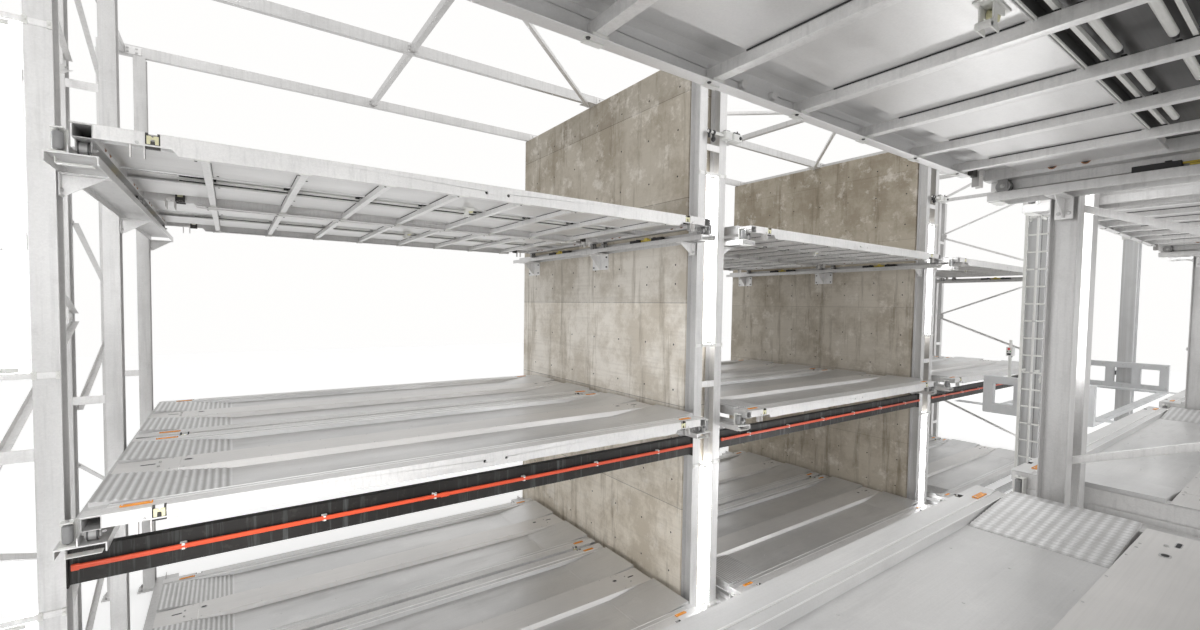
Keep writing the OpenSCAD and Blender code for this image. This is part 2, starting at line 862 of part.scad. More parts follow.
// Ladder on the aisle end of the left mast
ladder_w = 310;
ladder_y = -80;
ladder_gap = 195;
stile_t = 20;
stile_w = 40;
rung_pitch = 280;
rung_r = 12;
first_rung = 150;
bracket_y = [-50, 135];
module mast_ladder() {
  bottom = base_z + base_h;
  top = mast_h - 60;
  color("silver") from_aisle()
    translate([crane_x - mast_outer - ladder_gap, ladder_y, 0]) {
      for (side = [-1, 1])
        translate([-stile_t / 2, side * ladder_w / 2 - stile_w / 2, bottom])
          cube([stile_t, stile_w, top - bottom]);
      for (z = [bottom + first_rung:rung_pitch:top - 60])
        translate([0, 0, z])
          rotate([90, 0, 0]) cylinder(h = ladder_w - stile_w + 2, r = rung_r, center = true);
      for (z = [bottom + 400, (bottom + top) / 2, top - 200], y = bracket_y)
        translate([0, y, z]) cube([ladder_gap, stile_t, stile_w]);
    }
}

// Head box on top of each mast
head_h = 70;
head_inward = 40;
head_outward = 160;
head_side = 20;
module head_boxes() {
  color("whitesmoke") from_aisle()
    translate([crane_x, 0, 0]) both_ends()
      translate([mast_inner - head_inward, -mast_w / 2 - head_side, mast_h])
        cube([mast_l + head_inward + head_outward, mast_w + 2 * head_side, head_h]);
}

// Hoist ropes along the outer side of each mast, from the base to the head box
rope_r = 8;
rope_gap = 60;
rope_apart = 180;
module hoist_ropes() {
  color("dimgray") from_aisle()
    translate([crane_x, 0, 0]) both_ends()
      for (side = [-1, 1])
        translate([mast_outer + rope_gap, side * rope_apart / 2, base_z + base_h])
          cylinder(h = mast_h - base_z - base_h, r = rope_r, $fn = 12);
}

// End frames of the carriage, beside the masts
carriage_inner = mast_inner - carriage_gap - frame_t;
window_l = 300;
window_pitch = 450;
sill_h = 170;
lintel_h = 130;
module carriage_frames() {
  color([0.7, 0.71, 0.72]) from_aisle()
    translate([crane_x, 0, carriage_z - platform_d]) both_ends()
      difference() {
        translate([carriage_inner, -carriage_w / 2, 0]) cube([frame_t, carriage_w, carriage_h]);
        for (i = [-1, 0, 1])
          translate([carriage_inner - 1, i * window_pitch - window_l / 2, sill_h])
            cube([frame_t + 2, window_l, carriage_h - sill_h - lintel_h]);
      }
}

// Carriage platform: two long beams and the two running rails for a pallet
platform_beam_w = 110;
platform_clear = 85;
module carriage_platform() {
  reach = edge_y - platform_clear;
  color([0.7, 0.71, 0.72]) from_aisle()
    translate([crane_x, 0, carriage_z]) {
      for (side = [-1, 1])
        translate([
          -carriage_inner, side * (carriage_w - platform_beam_w) / 2 - platform_beam_w / 2,
          -platform_d
        ])
          cube([2 * carriage_inner, platform_beam_w, platform_d - rail_t]);
      both_ends()
        translate([bay_pitch / 2 - pair_face - rail_w, -reach, -rail_t])
          cube([rail_w, 2 * reach, rail_t]);
    }
}

// Guide blocks that hold the end frames to the masts
guide_clear = 6;
block_l = 90;
block_d = 70;
block_h = 100;
block_drop = [325, 140];
module carriage_guides() {
  color("dimgray") from_aisle()
    translate([crane_x, 0, carriage_z - platform_d + carriage_h]) both_ends()
      for (side = [-1, 1], drop = block_drop)
        translate([
          mast_inner - carriage_gap, side * (mast_w / 2 + guide_clear + block_d / 2) - block_d / 2,
          -drop
        ])
          cube([block_l, block_d, block_h]);
}

// Control post with its box, on the carriage's end frame
control_y = 385;
control_h = 660;
control_r = 25;
control_box = [120, 90, 160];
control_box_rise = 380;
module control_post() {
  color("whitesmoke") from_aisle()
    translate([
      crane_x - carriage_inner - frame_t / 2, control_y, carriage_z - platform_d + carriage_h
    ]) {
      cylinder(h = control_h, r = control_r);
      translate([-control_box[0] / 2, -control_box[1] / 2, control_box_rise]) cube(control_box);
    }
}

base_plates();
posts_a_front();
posts_a_middle();
posts_a_rear();
posts_b_front();
posts_b_rear();
battens();
fin_wall_left();
fin_wall_right();
end_bracing_a();
frame_bracing_b();
front_beams();
conductor_rail();
rail_clips();
pallet_rails_a();
pallet_rails_b();
roof_beams();
roof_cross_beams();
roof_bracing();
side_beams_a();
side_beams_b();
end_beams();
cross_members_a();
cross_members_b();
decks_a();
decks_b();
hump_covers();
ribbed_plates();
end_ramps();
latch_blocks();
reflectors();
pallet_rollers();
tube_lamps();
sensor_units();
crane_rails();
crane_base();
base_ties();
masts();
mast_ladder();
head_boxes();
hoist_ropes();
carriage_frames();
carriage_platform();
carriage_guides();
control_post();
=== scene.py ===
"""Looks of the automatic car park rack: materials, small fastenings, lamps, light and camera.

Everything is in metres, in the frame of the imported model: +X along the aisle, +Z up.
"""
import json
import math
import random
from functools import lru_cache
from itertools import product

import bpy
import numpy as np
from mathutils import Matrix, Vector


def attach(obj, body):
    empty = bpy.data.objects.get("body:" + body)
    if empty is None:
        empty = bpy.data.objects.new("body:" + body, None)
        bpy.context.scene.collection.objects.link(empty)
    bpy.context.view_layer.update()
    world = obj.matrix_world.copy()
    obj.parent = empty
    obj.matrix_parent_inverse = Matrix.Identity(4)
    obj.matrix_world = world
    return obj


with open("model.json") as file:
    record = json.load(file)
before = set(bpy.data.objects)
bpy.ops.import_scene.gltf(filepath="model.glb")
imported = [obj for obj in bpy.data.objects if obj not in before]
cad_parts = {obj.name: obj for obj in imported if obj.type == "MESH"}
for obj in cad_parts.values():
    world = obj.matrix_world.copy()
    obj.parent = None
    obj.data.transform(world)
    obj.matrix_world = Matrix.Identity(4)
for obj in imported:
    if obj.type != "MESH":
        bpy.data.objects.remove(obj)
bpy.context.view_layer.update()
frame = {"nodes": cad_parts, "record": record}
nodes = frame["nodes"]
draw = random.Random(11)

# The photograph's frame and the camera that was solved from its straight edges
IMAGE_W, IMAGE_H = 1200, 630
FOCAL_PX = 521.58
CENTRE_PX = (594.03, 325.81)
CAMERA_AT = Vector((-8.145, -4.080, 4.0))
CAMERA_YAW, CAMERA_PITCH, CAMERA_ROLL = 0.608213, -0.0387957, 0.014451
SENSOR_MM = 36
CLIP_NEAR, CLIP_FAR = 0.05, 400

# The world's light and the floor's glow where the camera itself doesn't look at them
WORLD_LIGHT = 0.61
FLOOR_GLOW, FLOOR_HALF = 0.42, 45

# Places of the rack; distances across the aisle are from its middle
AISLE_Y = -1.135
BAY_PITCH = 6.19
JOINT_X = (-9.285, -3.095, 3.095, 9.285)
BAY_X = (-6.19, 0.0, 6.19)
DECK_Z = (0.285, 2.665, 5.045)
EDGE_Y = 1.385
POST_FRONT, POST_MIDDLE, POST_REAR = 1.795, 4.065, 6.335
POST_HALF = 0.08
PAIR_OFFSET, PAIR_FACE, GAP_HALF = 0.18, 0.245, 0.115
POST_TOP = 7.2
ENDS = (JOINT_X[0], JOINT_X[-1])
POST_LINES = (
    (POST_FRONT, JOINT_X), (POST_MIDDLE, ENDS), (POST_REAR, ENDS),
    (-POST_FRONT, JOINT_X), (-POST_MIDDLE, JOINT_X),
)
SIDES = (-1, 1)
UP, DOWN = Vector((0, 0, 1)), Vector((0, 0, -1))

# Degrees from which an edge is rounded or kept sharp, and how near corners are joined
SHARP_EDGE, SMOOTH_BELOW = 40, 32
WELD_WITHIN = 0.00002

# Places on a pallet; heights are from the top of its side beams
FORK_FROM = 2.3875
CROSS_HALF = 0.025
FLANGE_W = 0.13
SHELF_END, SHEET_HALF = 0.895, 2.62
RECESS_HALF = 2.3
PALLET_L, PALLET_W, HUMP_W = 5.46, 2.2, 0.378
ROWS_A, ROWS_B = (2.485, 4.755), (-2.485,)
ALL_ROWS = ROWS_A + ROWS_B
CROSS_X = [i * 4.18 / 7 - 2.09 for i in range(8)]
RAIL_DROP, RAIL_LIP, RAIL_W = 0.183, 0.06, 0.245
RAIL_START = EDGE_Y + 0.03
DECK_UNDER, FOOT_Z = -0.059, -0.125
FIRST_RIB, RIB_PITCH = 0.07, 0.048
STROKE_ROW, STROKE_STEP = 0.055, 0.0155

# Turns that stand an outline upright, with its first axis along X or Y and its second along Z.
# Its thickness then runs towards -Y, +Y, +X and -X
ALONG_X = Matrix(((1, 0, 0), (0, 0, -1), (0, 1, 0))).to_4x4()
ALONG_X_DEEP = Matrix(((1, 0, 0), (0, 0, 1), (0, 1, 0))).to_4x4()
ALONG_Y = Matrix(((0, 0, 1), (1, 0, 0), (0, 1, 0))).to_4x4()
ALONG_Y_BACK = Matrix(((0, 0, -1), (1, 0, 0), (0, 1, 0))).to_4x4()


def make_camera():
    """Places the camera where the photograph was taken."""
    yaw, pitch, roll = CAMERA_YAW, CAMERA_PITCH, CAMERA_ROLL
    ahead = Vector((
        math.sin(yaw) * math.cos(pitch), math.cos(yaw) * math.cos(pitch), math.sin(pitch)))
    level = Vector((math.cos(yaw), -math.sin(yaw), 0))
    right = level * math.cos(roll) + level.cross(ahead) * math.sin(roll)
    up = right.cross(ahead)
    data = bpy.data.cameras.new("camera")
    data.sensor_width = SENSOR_MM
    data.lens = SENSOR_MM * FOCAL_PX / IMAGE_W
    data.shift_x = (IMAGE_W / 2 - CENTRE_PX[0]) / IMAGE_W
    data.shift_y = (CENTRE_PX[1] - IMAGE_H / 2) / IMAGE_W
    data.clip_start, data.clip_end = CLIP_NEAR, CLIP_FAR
    camera = bpy.data.objects.new("camera", data)
    turn = Matrix((right, up, -ahead)).transposed().to_4x4()
    camera.matrix_world = Matrix.Translation(CAMERA_AT) @ turn
    bpy.context.scene.collection.objects.link(camera)
    bpy.context.scene.camera = camera


# ---- materials


class Nodes:
    """A small helper that adds nodes to a material or to the world."""

    def __init__(self, holder, surface):
        holder.use_nodes = True
        self.tree = holder.node_tree
        self.surface = self.tree.nodes[surface]

    def add(self, kind, inputs=None, **settings):
        node = self.tree.nodes.new(kind)
        for key, value in settings.items():
            setattr(node, key, value)
        for key, value in (inputs or {}).items():
            self.put(value, node.inputs[key])
        return node

    def put(self, value, socket):
        """Links a socket, or sets a plain value on it."""
        if isinstance(value, bpy.types.NodeSocket):
            self.tree.links.new(value, socket)
        else:
            socket.default_value = value

    def to_range(self, value, low, high, from_low=0.0, from_high=1.0):
        return self.add("ShaderNodeMapRange", {
            "Value": value, "From Min": from_low, "From Max": from_high,
            "To Min": low, "To Max": high}).outputs[0]

    def math(self, operation, *values):
        """One Math node fed with sockets or numbers."""
        node = self.add("ShaderNodeMath", operation=operation)
        for socket, value in zip(node.inputs, values):
            self.put(value, socket)
        return node.outputs[0]

    def seen_directly(self):
        """1 for rays from the camera, off a mirror or through glass, 0 for the light they meet."""
        ray = self.add("ShaderNodeLightPath").outputs
        seen = self.math("MAXIMUM", ray["Is Camera Ray"], ray["Is Glossy Ray"])
        return self.math("MAXIMUM", seen, ray["Is Transmission Ray"])


class Shader(Nodes):
    """One material over the object's own coordinates."""

    def __init__(self, name):
        self.material = bpy.data.materials.new(name)
        super().__init__(self.material, "Principled BSDF")
        self.place = self.add("ShaderNodeTexCoord").outputs["Object"]

    def coordinate(self, axis):
        """The object coordinate along one axis."""
        return self.add("ShaderNodeSeparateXYZ", {"Vector": self.place}).outputs[axis]

    def scaled(self, x, y, z):
        """Object coordinates stretched along each axis."""
        return self.add("ShaderNodeMapping", {"Vector": self.place, "Scale": (x, y, z)}).outputs[0]

    def noise(self, scale, detail=4.0, rough=0.5, at=None):
        return self.add("ShaderNodeTexNoise", {
            "Vector": at or self.place, "Scale": scale, "Detail": detail, "Roughness": rough,
        }).outputs["Fac"]

    def cells(self, scale):
        """A random tone for each cell of a crystal pattern."""
        return self.add(
            "ShaderNodeTexVoronoi", {"Vector": self.place, "Scale": scale}).outputs["Color"]

    def ramp(self, value, stops):
        node = self.add("ShaderNodeValToRGB", {"Fac": value})
        elements = node.color_ramp.elements
        while len(elements) < len(stops):
            elements.new(0.5)
        for element, (at, colour) in zip(elements, stops):
            element.position = at
            element.color = colour
        return node.outputs["Color"]

    def mix(self, share, a, b, blend="MIX"):
        node = self.add("ShaderNodeMix", data_type="RGBA", blend_type=blend)
        for socket, value in ((0, share), (6, a), (7, b)):
            self.put(value, node.inputs[socket])
        return node.outputs[2]

    def tint(self, base, pattern, most, low, high, colour):
        """Lays a colour over the base: nothing at the pattern's low level, most at its high one."""
        return self.mix(self.to_range(pattern, 0, most, low, high), base, colour)

    def multiply(self, base, factor):
        """Darkens or lightens the base by a factor."""
        return self.mix(1.0, base, factor, "MULTIPLY")

    def off_centre(self, value, span):
        """0 in the middle of a repeated span and 1 at its ends."""
        middle = self.math("SUBTRACT", value, span / 2)
        return self.math("DIVIDE", self.math("ABSOLUTE", middle), span / 2)

    def facing_down(self):
        """1 on faces that look down, 0 on the others."""
        normal = self.add("ShaderNodeNewGeometry").outputs["Normal"]
        height = self.add("ShaderNodeSeparateXYZ", {"Vector": normal}).outputs["Z"]
        return self.to_range(height, 1, 0, -0.9, -0.5)

    def bump(self, height, strength, distance, under=None):
        inputs = {"Height": height, "Strength": strength, "Distance": distance}
        if under:
            inputs["Normal"] = under
        return self.add("ShaderNodeBump", inputs).outputs[0]

    def finish(self, **sockets):
        """Sets the surface's sockets; a space in a socket's name is written as an underscore."""
        for key, value in sockets.items():
            self.put(value, self.surface.inputs[key.replace("_", " ")])
        return self.material


def grey(value, warm=0.0):
    """A grey as RGBA, a little warm or cool."""
    return (min(value * (1 + warm), 1), value, value * (1 - warm), 1)


def galvanised(name, tone, spangle=90.0, metallic=0.4, rough=0.38, warm=0.008):
    """Zinc-coated steel: fine crystals, faint clouds, short runs and handling scratches."""
    s = Shader(name)
    crystals = s.cells(spangle)
    fine = s.cells(spangle * 2.7)
    clouds = s.noise(1.7, 7, 0.6)
    runs = s.noise(1.0, 5, 0.6, s.scaled(30, 30, 1.6))
    stains = s.noise(5.0, 7, 0.7)
    scratches = s.noise(1.0, 3, 0.5, s.scaled(5, 190, 190))
    base = s.ramp(clouds, [
        (0.3, grey(tone * 0.9, warm)), (0.5, grey(tone, warm)), (0.72, grey(tone * 1.05, warm))])
    base = s.tint(base, runs, 0.45, 0.5, 0.7, grey(tone * 0.74, warm))
    base = s.tint(base, stains, 0.3, 0.56, 0.72, grey(tone * 0.68, warm * 3))
    base = s.tint(base, scratches, 0.3, 0.66, 0.74, grey(min(tone * 1.25, 0.93)))
    base = s.multiply(base, s.to_range(crystals, 0.95, 1.03))
    base = s.multiply(base, s.to_range(fine, 0.98, 1.015))
    return s.finish(
        Base_Color=base, Metallic=metallic,
        Roughness=s.to_range(crystals, rough - 0.05, rough + 0.06),
        Normal=s.bump(crystals, 0.03, 0.001, s.bump(s.noise(60, 4), 0.05, 0.002)))


def rolled_sheet(name, tone, metallic=0.55, rough=0.33):
    """Smooth zinc sheet: fine grain along its length, tyre scuffs and dust, a soft waviness, and
    painted light on faces that look down.
    """
    s = Shader(name)
    grain = s.noise(1.0, 4, 0.6, s.scaled(1.4, 90, 90))
    broad = s.noise(0.8, 4, 0.5)
    scuffs = s.noise(1.0, 6, 0.64, s.scaled(0.8, 4, 2))
    dust = s.noise(5.0, 7, 0.7)
    fine = s.cells(140)
    base = s.ramp(broad, [(0.3, grey(tone * 0.88)), (0.7, grey(tone * 1.06, 0.006))])
    base = s.tint(base, grain, 0.26, 0.4, 0.75, grey(tone * 0.82, 0.008))
    base = s.tint(base, scuffs, 0.32, 0.54, 0.72, grey(tone * 0.64, 0.012))
    base = s.tint(base, dust, 0.28, 0.55, 0.75, grey(min(tone * 1.22, 0.92), 0.006))
    # painted light: faces that look down are lighter and warmer
    base = s.mix(s.facing_down(), base, s.mix(0.6, base, grey(min(tone * 1.04, 0.9), 0.012)))
    base = s.multiply(base, s.to_range(fine, 0.97, 1.02))
    return s.finish(
        Base_Color=base, Metallic=metallic,
        Roughness=s.to_range(scuffs, rough - 0.05, rough + 0.18, 0.3, 0.75),
        Normal=s.bump(broad, 0.3, 0.02, s.bump(grain, 0.04, 0.0008)))


def ribbed_sheet(name, tone):
    """Pressed plate: painted highlights on the ridges and darker valleys; on the single row, lines of
    short strokes lit the same way.
    """
    s = Shader(name)
    local = s.math("WRAP", s.coordinate("X"), BAY_PITCH / 2, -BAY_PITCH / 2)
    cross = s.coordinate("Y")
    phase = s.math("WRAP", s.math("ADD", local, PALLET_L / 2 - FIRST_RIB), RIB_PITCH, 0.0)
    ridges = s.to_range(s.off_centre(phase, RIB_PITCH), 1, 0, 0.1, 0.85)
    lines = s.off_centre(s.math("WRAP", cross, STROKE_ROW, 0.0), STROKE_ROW)
    dashes = s.off_centre(s.math("WRAP", local, STROKE_STEP, 0.0), STROKE_STEP)
    strokes = s.math(
        "MULTIPLY", s.to_range(lines, 1, 0.3, 0.1, 0.8), s.to_range(dashes, 1, 0.55, 0.3, 0.7))
    single_row = s.to_range(cross, 1, 0, across(-1), across(1))
    pressed = s.mix(single_row, ridges, strokes)
    wear = s.noise(6, 6, 0.66)
    dirt = s.noise(22, 5, 0.6)
    base = s.ramp(wear, [(0.3, grey(tone * 0.82)), (0.55, grey(tone)), (0.8, grey(tone * 1.12))])
    # darker between the ridges and strokes
    base = s.mix(s.to_range(pressed, 0.6, 0, 0.0, 0.55), base, grey(tone * 0.56, 0.03))
    # painted highlights on the ridges and strokes
    base = s.tint(base, pressed, 0.6, 0.4, 1.0, grey(min(tone * 1.4, 0.92)))
    base = s.tint(base, dirt, 0.35, 0.56, 0.75, grey(tone * 0.62, 0.02))
    return s.finish(
        Base_Color=base, Metallic=0.5, Roughness=s.to_range(wear, 0.34, 0.56, 0.3, 0.75),
        Normal=s.bump(pressed, 0.5, 0.003, s.bump(dirt, 0.08, 0.001)))


def stone(value, warm):
    """A beige grey as RGBA, for concrete."""
    return (value * (1 + warm), value, value * (1 - 1.6 * warm), 1)


def concrete(name):
    """Cast concrete: lifts and panels of different tone, partly painted light by height, painted shade
    on the fin wall at +X, dark stains, pale lime, runs and pores.
    """
    s = Shader(name)
    height = s.to_range(s.coordinate("Z"), 0, 1, 0, POST_TOP)
    # tone by height: lifts of different tone, with painted light on top: lighter in the lit low and
    # middle storeys, darker at the top
    lifts_and_painted_light = s.ramp(height, [
        (0.0, stone(0.74, 0.085)), (0.34, stone(0.84, 0.075)), (0.37, stone(0.94, 0.05)),
        (0.65, stone(0.9, 0.055)), (0.68, stone(0.6, 0.09)), (0.95, stone(0.5, 0.1))])
    # painted shade: the fin wall at +X is darker
    far_wall_shade = s.to_range(s.coordinate("X"), 0, 0.55, -1, 1)
    turned = s.add("ShaderNodeMapping", {
        "Vector": s.place, "Rotation": (math.pi / 2, 0, math.pi / 2)}).outputs[0]
    panels = s.add("ShaderNodeTexBrick", {
        "Vector": turned, "Color1": grey(0.82), "Color2": grey(1.0), "Mortar": grey(0.5),
        "Scale": 1.0, "Mortar Size": 0.005, "Brick Width": 1.35, "Row Height": 2.4},
        offset=0.0).outputs["Color"]
    stains = s.noise(0.9, 9, 0.72)
    blots = s.noise(2.8, 9, 0.75)
    runs = s.noise(1.0, 8, 0.7, s.scaled(5, 5, 0.45))
    boards = s.noise(1.0, 3, 0.5, s.scaled(1, 1, 26))
    pores = s.noise(60, 5, 0.75)
    base = s.multiply(lifts_and_painted_light, panels)
    base = s.mix(far_wall_shade, base, stone(0.4, 0.14))
    base = s.tint(base, stains, 0.75, 0.45, 0.58, s.multiply(base, stone(0.6, 0.06)))
    base = s.tint(base, blots, 0.55, 0.54, 0.64, stone(0.82, 0.05))
    base = s.tint(base, runs, 0.7, 0.54, 0.66, s.multiply(base, stone(0.45, 0.08)))
    base = s.tint(base, boards, 0.22, 0.5, 0.75, stone(0.4, 0.1))
    base = s.tint(base, pores, 0.6, 0.62, 0.72, stone(0.19, 0.1))
    return s.finish(
        Base_Color=base, Roughness=s.to_range(blots, 0.76, 0.92),
        Normal=s.bump(pores, 0.4, 0.003, s.bump(blots, 0.4, 0.008)))


def painted(name, colour, rough=0.45, wear=0.12, metallic=0.0, chips=None):
    """Smooth paint with faint clouds, handling marks and, where named, worn-through spots."""
    s = Shader(name)
    marks = s.noise(3.5, 6, 0.62)
    dirt = s.noise(24, 5, 0.6)
    dull = tuple(c * (1 - wear * 2) for c in colour)
    worn = tuple(c * (1 - wear) for c in colour)
    base = s.mix(s.to_range(marks, 0, 1, 0.35, 0.75), (*colour, 1), (*worn, 1))
    base = s.tint(base, dirt, 0.5, 0.58, 0.75, (*dull, 1))
    if chips:
        base = s.mix(s.to_range(s.noise(38, 7, 0.72), 0, 1, 0.6, 0.63), base, (*chips, 1))
    return s.finish(
        Base_Color=base, Metallic=metallic, Roughness=s.to_range(marks, rough - 0.08, rough + 0.12),
        Normal=s.bump(dirt, 0.06, 0.001))


def brushed_paint(name, tone):
    """Satin grey coat of the crane's masts, with long soft bands from top to bottom."""
    s = Shader(name)
    bands = s.noise(1.0, 4, 0.5, s.scaled(16, 16, 0.25))
    marks = s.noise(4.0, 6, 0.64)
    low = s.noise(30, 5, 0.6)
    base = s.ramp(bands, [(0.3, grey(tone * 0.84)), (0.7, grey(tone * 1.12, -0.01))])
    base = s.tint(base, marks, 0.3, 0.5, 0.74, grey(tone * 0.78, 0.01))
    base = s.tint(base, low, 0.16, 0.6, 0.76, grey(tone * 0.6))
    return s.finish(
        Base_Color=base, Metallic=0.35, Roughness=s.to_range(marks, 0.32, 0.5),
        Normal=s.bump(low, 0.05, 0.001))


def dark_beam(name):
    """A very dark coat with upright lighter streaks, which are painted reflections."""
    s = Shader(name)
    painted_reflections = s.noise(1.0, 6, 0.7, s.scaled(14, 8, 0.5))
    broad = s.noise(0.6, 3, 0.5, s.scaled(1, 1, 0.2))
    marks = s.noise(16, 6, 0.66)
    base = s.ramp(broad, [(0.35, grey(0.012, 0.08)), (0.65, grey(0.032, 0.05))])
    # painted reflections: upright lighter streaks
    base = s.tint(base, painted_reflections, 0.8, 0.54, 0.72, (0.14, 0.15, 0.15, 1))
    base = s.tint(base, marks, 0.35, 0.58, 0.76, grey(0.1, 0.08))
    return s.finish(
        Base_Color=base, Metallic=0.2, Specular_IOR_Level=0.3,
        Roughness=s.to_range(marks, 0.38, 0.6), Normal=s.bump(marks, 0.06, 0.001))


def beam_coat(name, tone):
    """Pale side beams: fine upright marks of the zinc bath and a few grey rubs."""
    s = Shader(name)
    marks = s.noise(1.0, 5, 0.66, s.scaled(38, 38, 6))
    clouds = s.noise(1.4, 6, 0.62)
    rubs = s.noise(1.0, 6, 0.7, s.scaled(2.2, 9, 9))
    grains = s.cells(120)
    base = s.ramp(clouds, [(0.3, grey(tone * 0.9, 0.008)), (0.7, grey(tone * 1.04, 0.012))])
    base = s.tint(base, marks, 0.42, 0.5, 0.68, grey(tone * 0.76, 0.006))
    base = s.tint(base, rubs, 0.34, 0.56, 0.72, grey(tone * 0.6, 0.01))
    base = s.multiply(base, s.to_range(grains, 0.95, 1.03))
    return s.finish(
        Base_Color=base, Metallic=0.3, Roughness=s.to_range(marks, 0.32, 0.5),
        Normal=s.bump(marks, 0.05, 0.001))


def cover_steel(name, tone):
    """The middle cover: bright sheet above, and painted shade, near black, on its faces that look
    down.
    """
    s = Shader(name)
    grain = s.noise(1.0, 4, 0.6, s.scaled(1.2, 60, 60))
    clouds = s.noise(1.2, 6, 0.6)
    base = s.ramp(clouds, [(0.3, grey(tone * 0.92, 0.015)), (0.7, grey(tone * 1.04, 0.02))])
    base = s.tint(base, grain, 0.3, 0.45, 0.75, grey(tone * 0.82, 0.02))
    # painted shade: faces that look down turn near black
    base = s.mix(s.facing_down(), base, s.mix(clouds, grey(0.05), grey(0.11, 0.03)))
    return s.finish(
        Base_Color=base, Metallic=0.4, Roughness=s.to_range(grain, 0.32, 0.5),
        Normal=s.bump(grain, 0.05, 0.001))


def latch_coat(name):
    """Black latch blocks with worn spots, and the bright forks beside them."""
    s = Shader(name)
    away = s.math("ABSOLUTE", s.math("WRAP", s.coordinate("X"), BAY_PITCH / 2, -BAY_PITCH / 2))
    fork = s.to_range(away, 0, 1, FORK_FROM, FORK_FROM + 0.001)
    wear = s.noise(34, 6, 0.7)
    clouds = s.noise(6, 5, 0.6)
    black = s.mix(s.to_range(wear, 0, 0.8, 0.58, 0.66), grey(0.045, 0.06), grey(0.3, 0.08))
    zinc = s.mix(s.to_range(clouds, 0, 0.6, 0.4, 0.7), grey(0.74, 0.02), grey(0.56, 0.02))
    return s.finish(
        Base_Color=s.mix(fork, black, zinc), Metallic=0.3, Roughness=s.to_range(wear, 0.36, 0.56),
        Normal=s.bump(wear, 0.1, 0.001))


def lit_lamp(name, strength):
    """The lit lamp: tube and tray, a little weaker near dust."""
    s = Shader(name)
    dust = s.noise(6, 4)
    return s.finish(
        Base_Color=(0.97, 0.985, 1.0, 1), Roughness=s.to_range(dust, 0.3, 0.4),
        Emission_Color=s.mix(s.to_range(dust, 0, 0.25, 0.4, 0.8), (1, 1, 1, 1), (0.93, 0.95, 1.0, 1)),
        Emission_Strength=strength)


def make_materials():
    """One material for each slot of the record, and a few more for the small pieces."""
    return {
        "galvanised_steel": galvanised("galvanised steel", 0.66),
        "light_steel": galvanised("light zinc steel", 0.8, 110, 0.35, 0.36),
        "beam": beam_coat("side beam zinc", 0.76),
        "smooth_beam": rolled_sheet("smooth side beam", 0.76, 0.4, 0.36),
        "cover": cover_steel("cover steel", 0.76),
        "deck_steel": rolled_sheet("deck sheet", 0.7),
        "ribbed": ribbed_sheet("ribbed plate", 0.64),
        "concrete": concrete("cast concrete"),
        "red_rail": painted("red conductor rail", (0.82, 0.1, 0.035), 0.35),
        "white_clip": painted("white plastic", (0.8, 0.8, 0.77), 0.4),
        # painted highlight, for the near-white strips along the sheets' folded edges
        "highlight_paint": painted("painted edge highlight", (0.95, 0.95, 0.94), 0.3, 0.05),
        "latch_paint": latch_coat("black latch"),
        "orange_reflector": painted("orange reflector", (0.9, 0.34, 0.03), 0.22),
        "dark_steel": galvanised("dark steel", 0.16, 80, 0.5, 0.46),
        "front_beam": dark_beam("dark beam"),
        "lamp_white": lit_lamp("lit lamp", 6.0),
        "crane_grey": brushed_paint("crane paint", 0.6),
        "carriage_paint": painted("carriage paint", (0.68, 0.69, 0.7), 0.4, 0.1, 0.2),
        "box_white": painted("white box paint", (0.8, 0.8, 0.78), 0.38, 0.08),
        "black": painted("black rubber", (0.025, 0.025, 0.026), 0.55, 0.3),
        "roller_grey": painted("grey roller", (0.3, 0.3, 0.3), 0.5, 0.25),
        "bolt": galvanised("bolt zinc", 0.55, 160, 0.7, 0.36),
        "dark_bolt": galvanised("dark bolt", 0.09, 160, 0.6, 0.42),
        "yellow": painted("yellow paint", (0.76, 0.6, 0.1), 0.42, chips=(0.3, 0.28, 0.2)),
        "cream": painted("cream enamel", (0.8, 0.77, 0.5), 0.4, 0.12),
        "rust": painted("rusty rim", (0.36, 0.17, 0.08), 0.8, 0.25, chips=(0.5, 0.42, 0.34)),
        # near-black paint for the discs and slots that stand for the painted shade inside holes
        "hole": painted("hole shadow", (0.03, 0.03, 0.032), 0.7, 0.2),
        "rope": galvanised("rope wire", 0.3, 300, 0.7, 0.5),
        "roller_steel": galvanised("roller steel", 0.36, 80, 0.5, 0.42),
        # painted shade: near black, for the sheets on the recess walls
        "recess_shade": painted("painted recess shade", (0.05, 0.05, 0.048), 0.6, 0.25),
        "red_button": painted("red button", (0.7, 0.03, 0.02), 0.3),
        "green_button": painted("green button", (0.04, 0.4, 0.1), 0.3),
    }


NODE_LOOK = {
    "front_beams": "front_beam", "ribbed_plates": "ribbed", "side_beams_a": "beam",
    "side_beams_b": "smooth_beam", "hump_covers": "cover",
    "carriage_frames": "carriage_paint", "carriage_platform": "carriage_paint",
    "hoist_ropes": "rope", "pallet_rollers": "roller_steel", "mast_ladder": "white_clip",
}

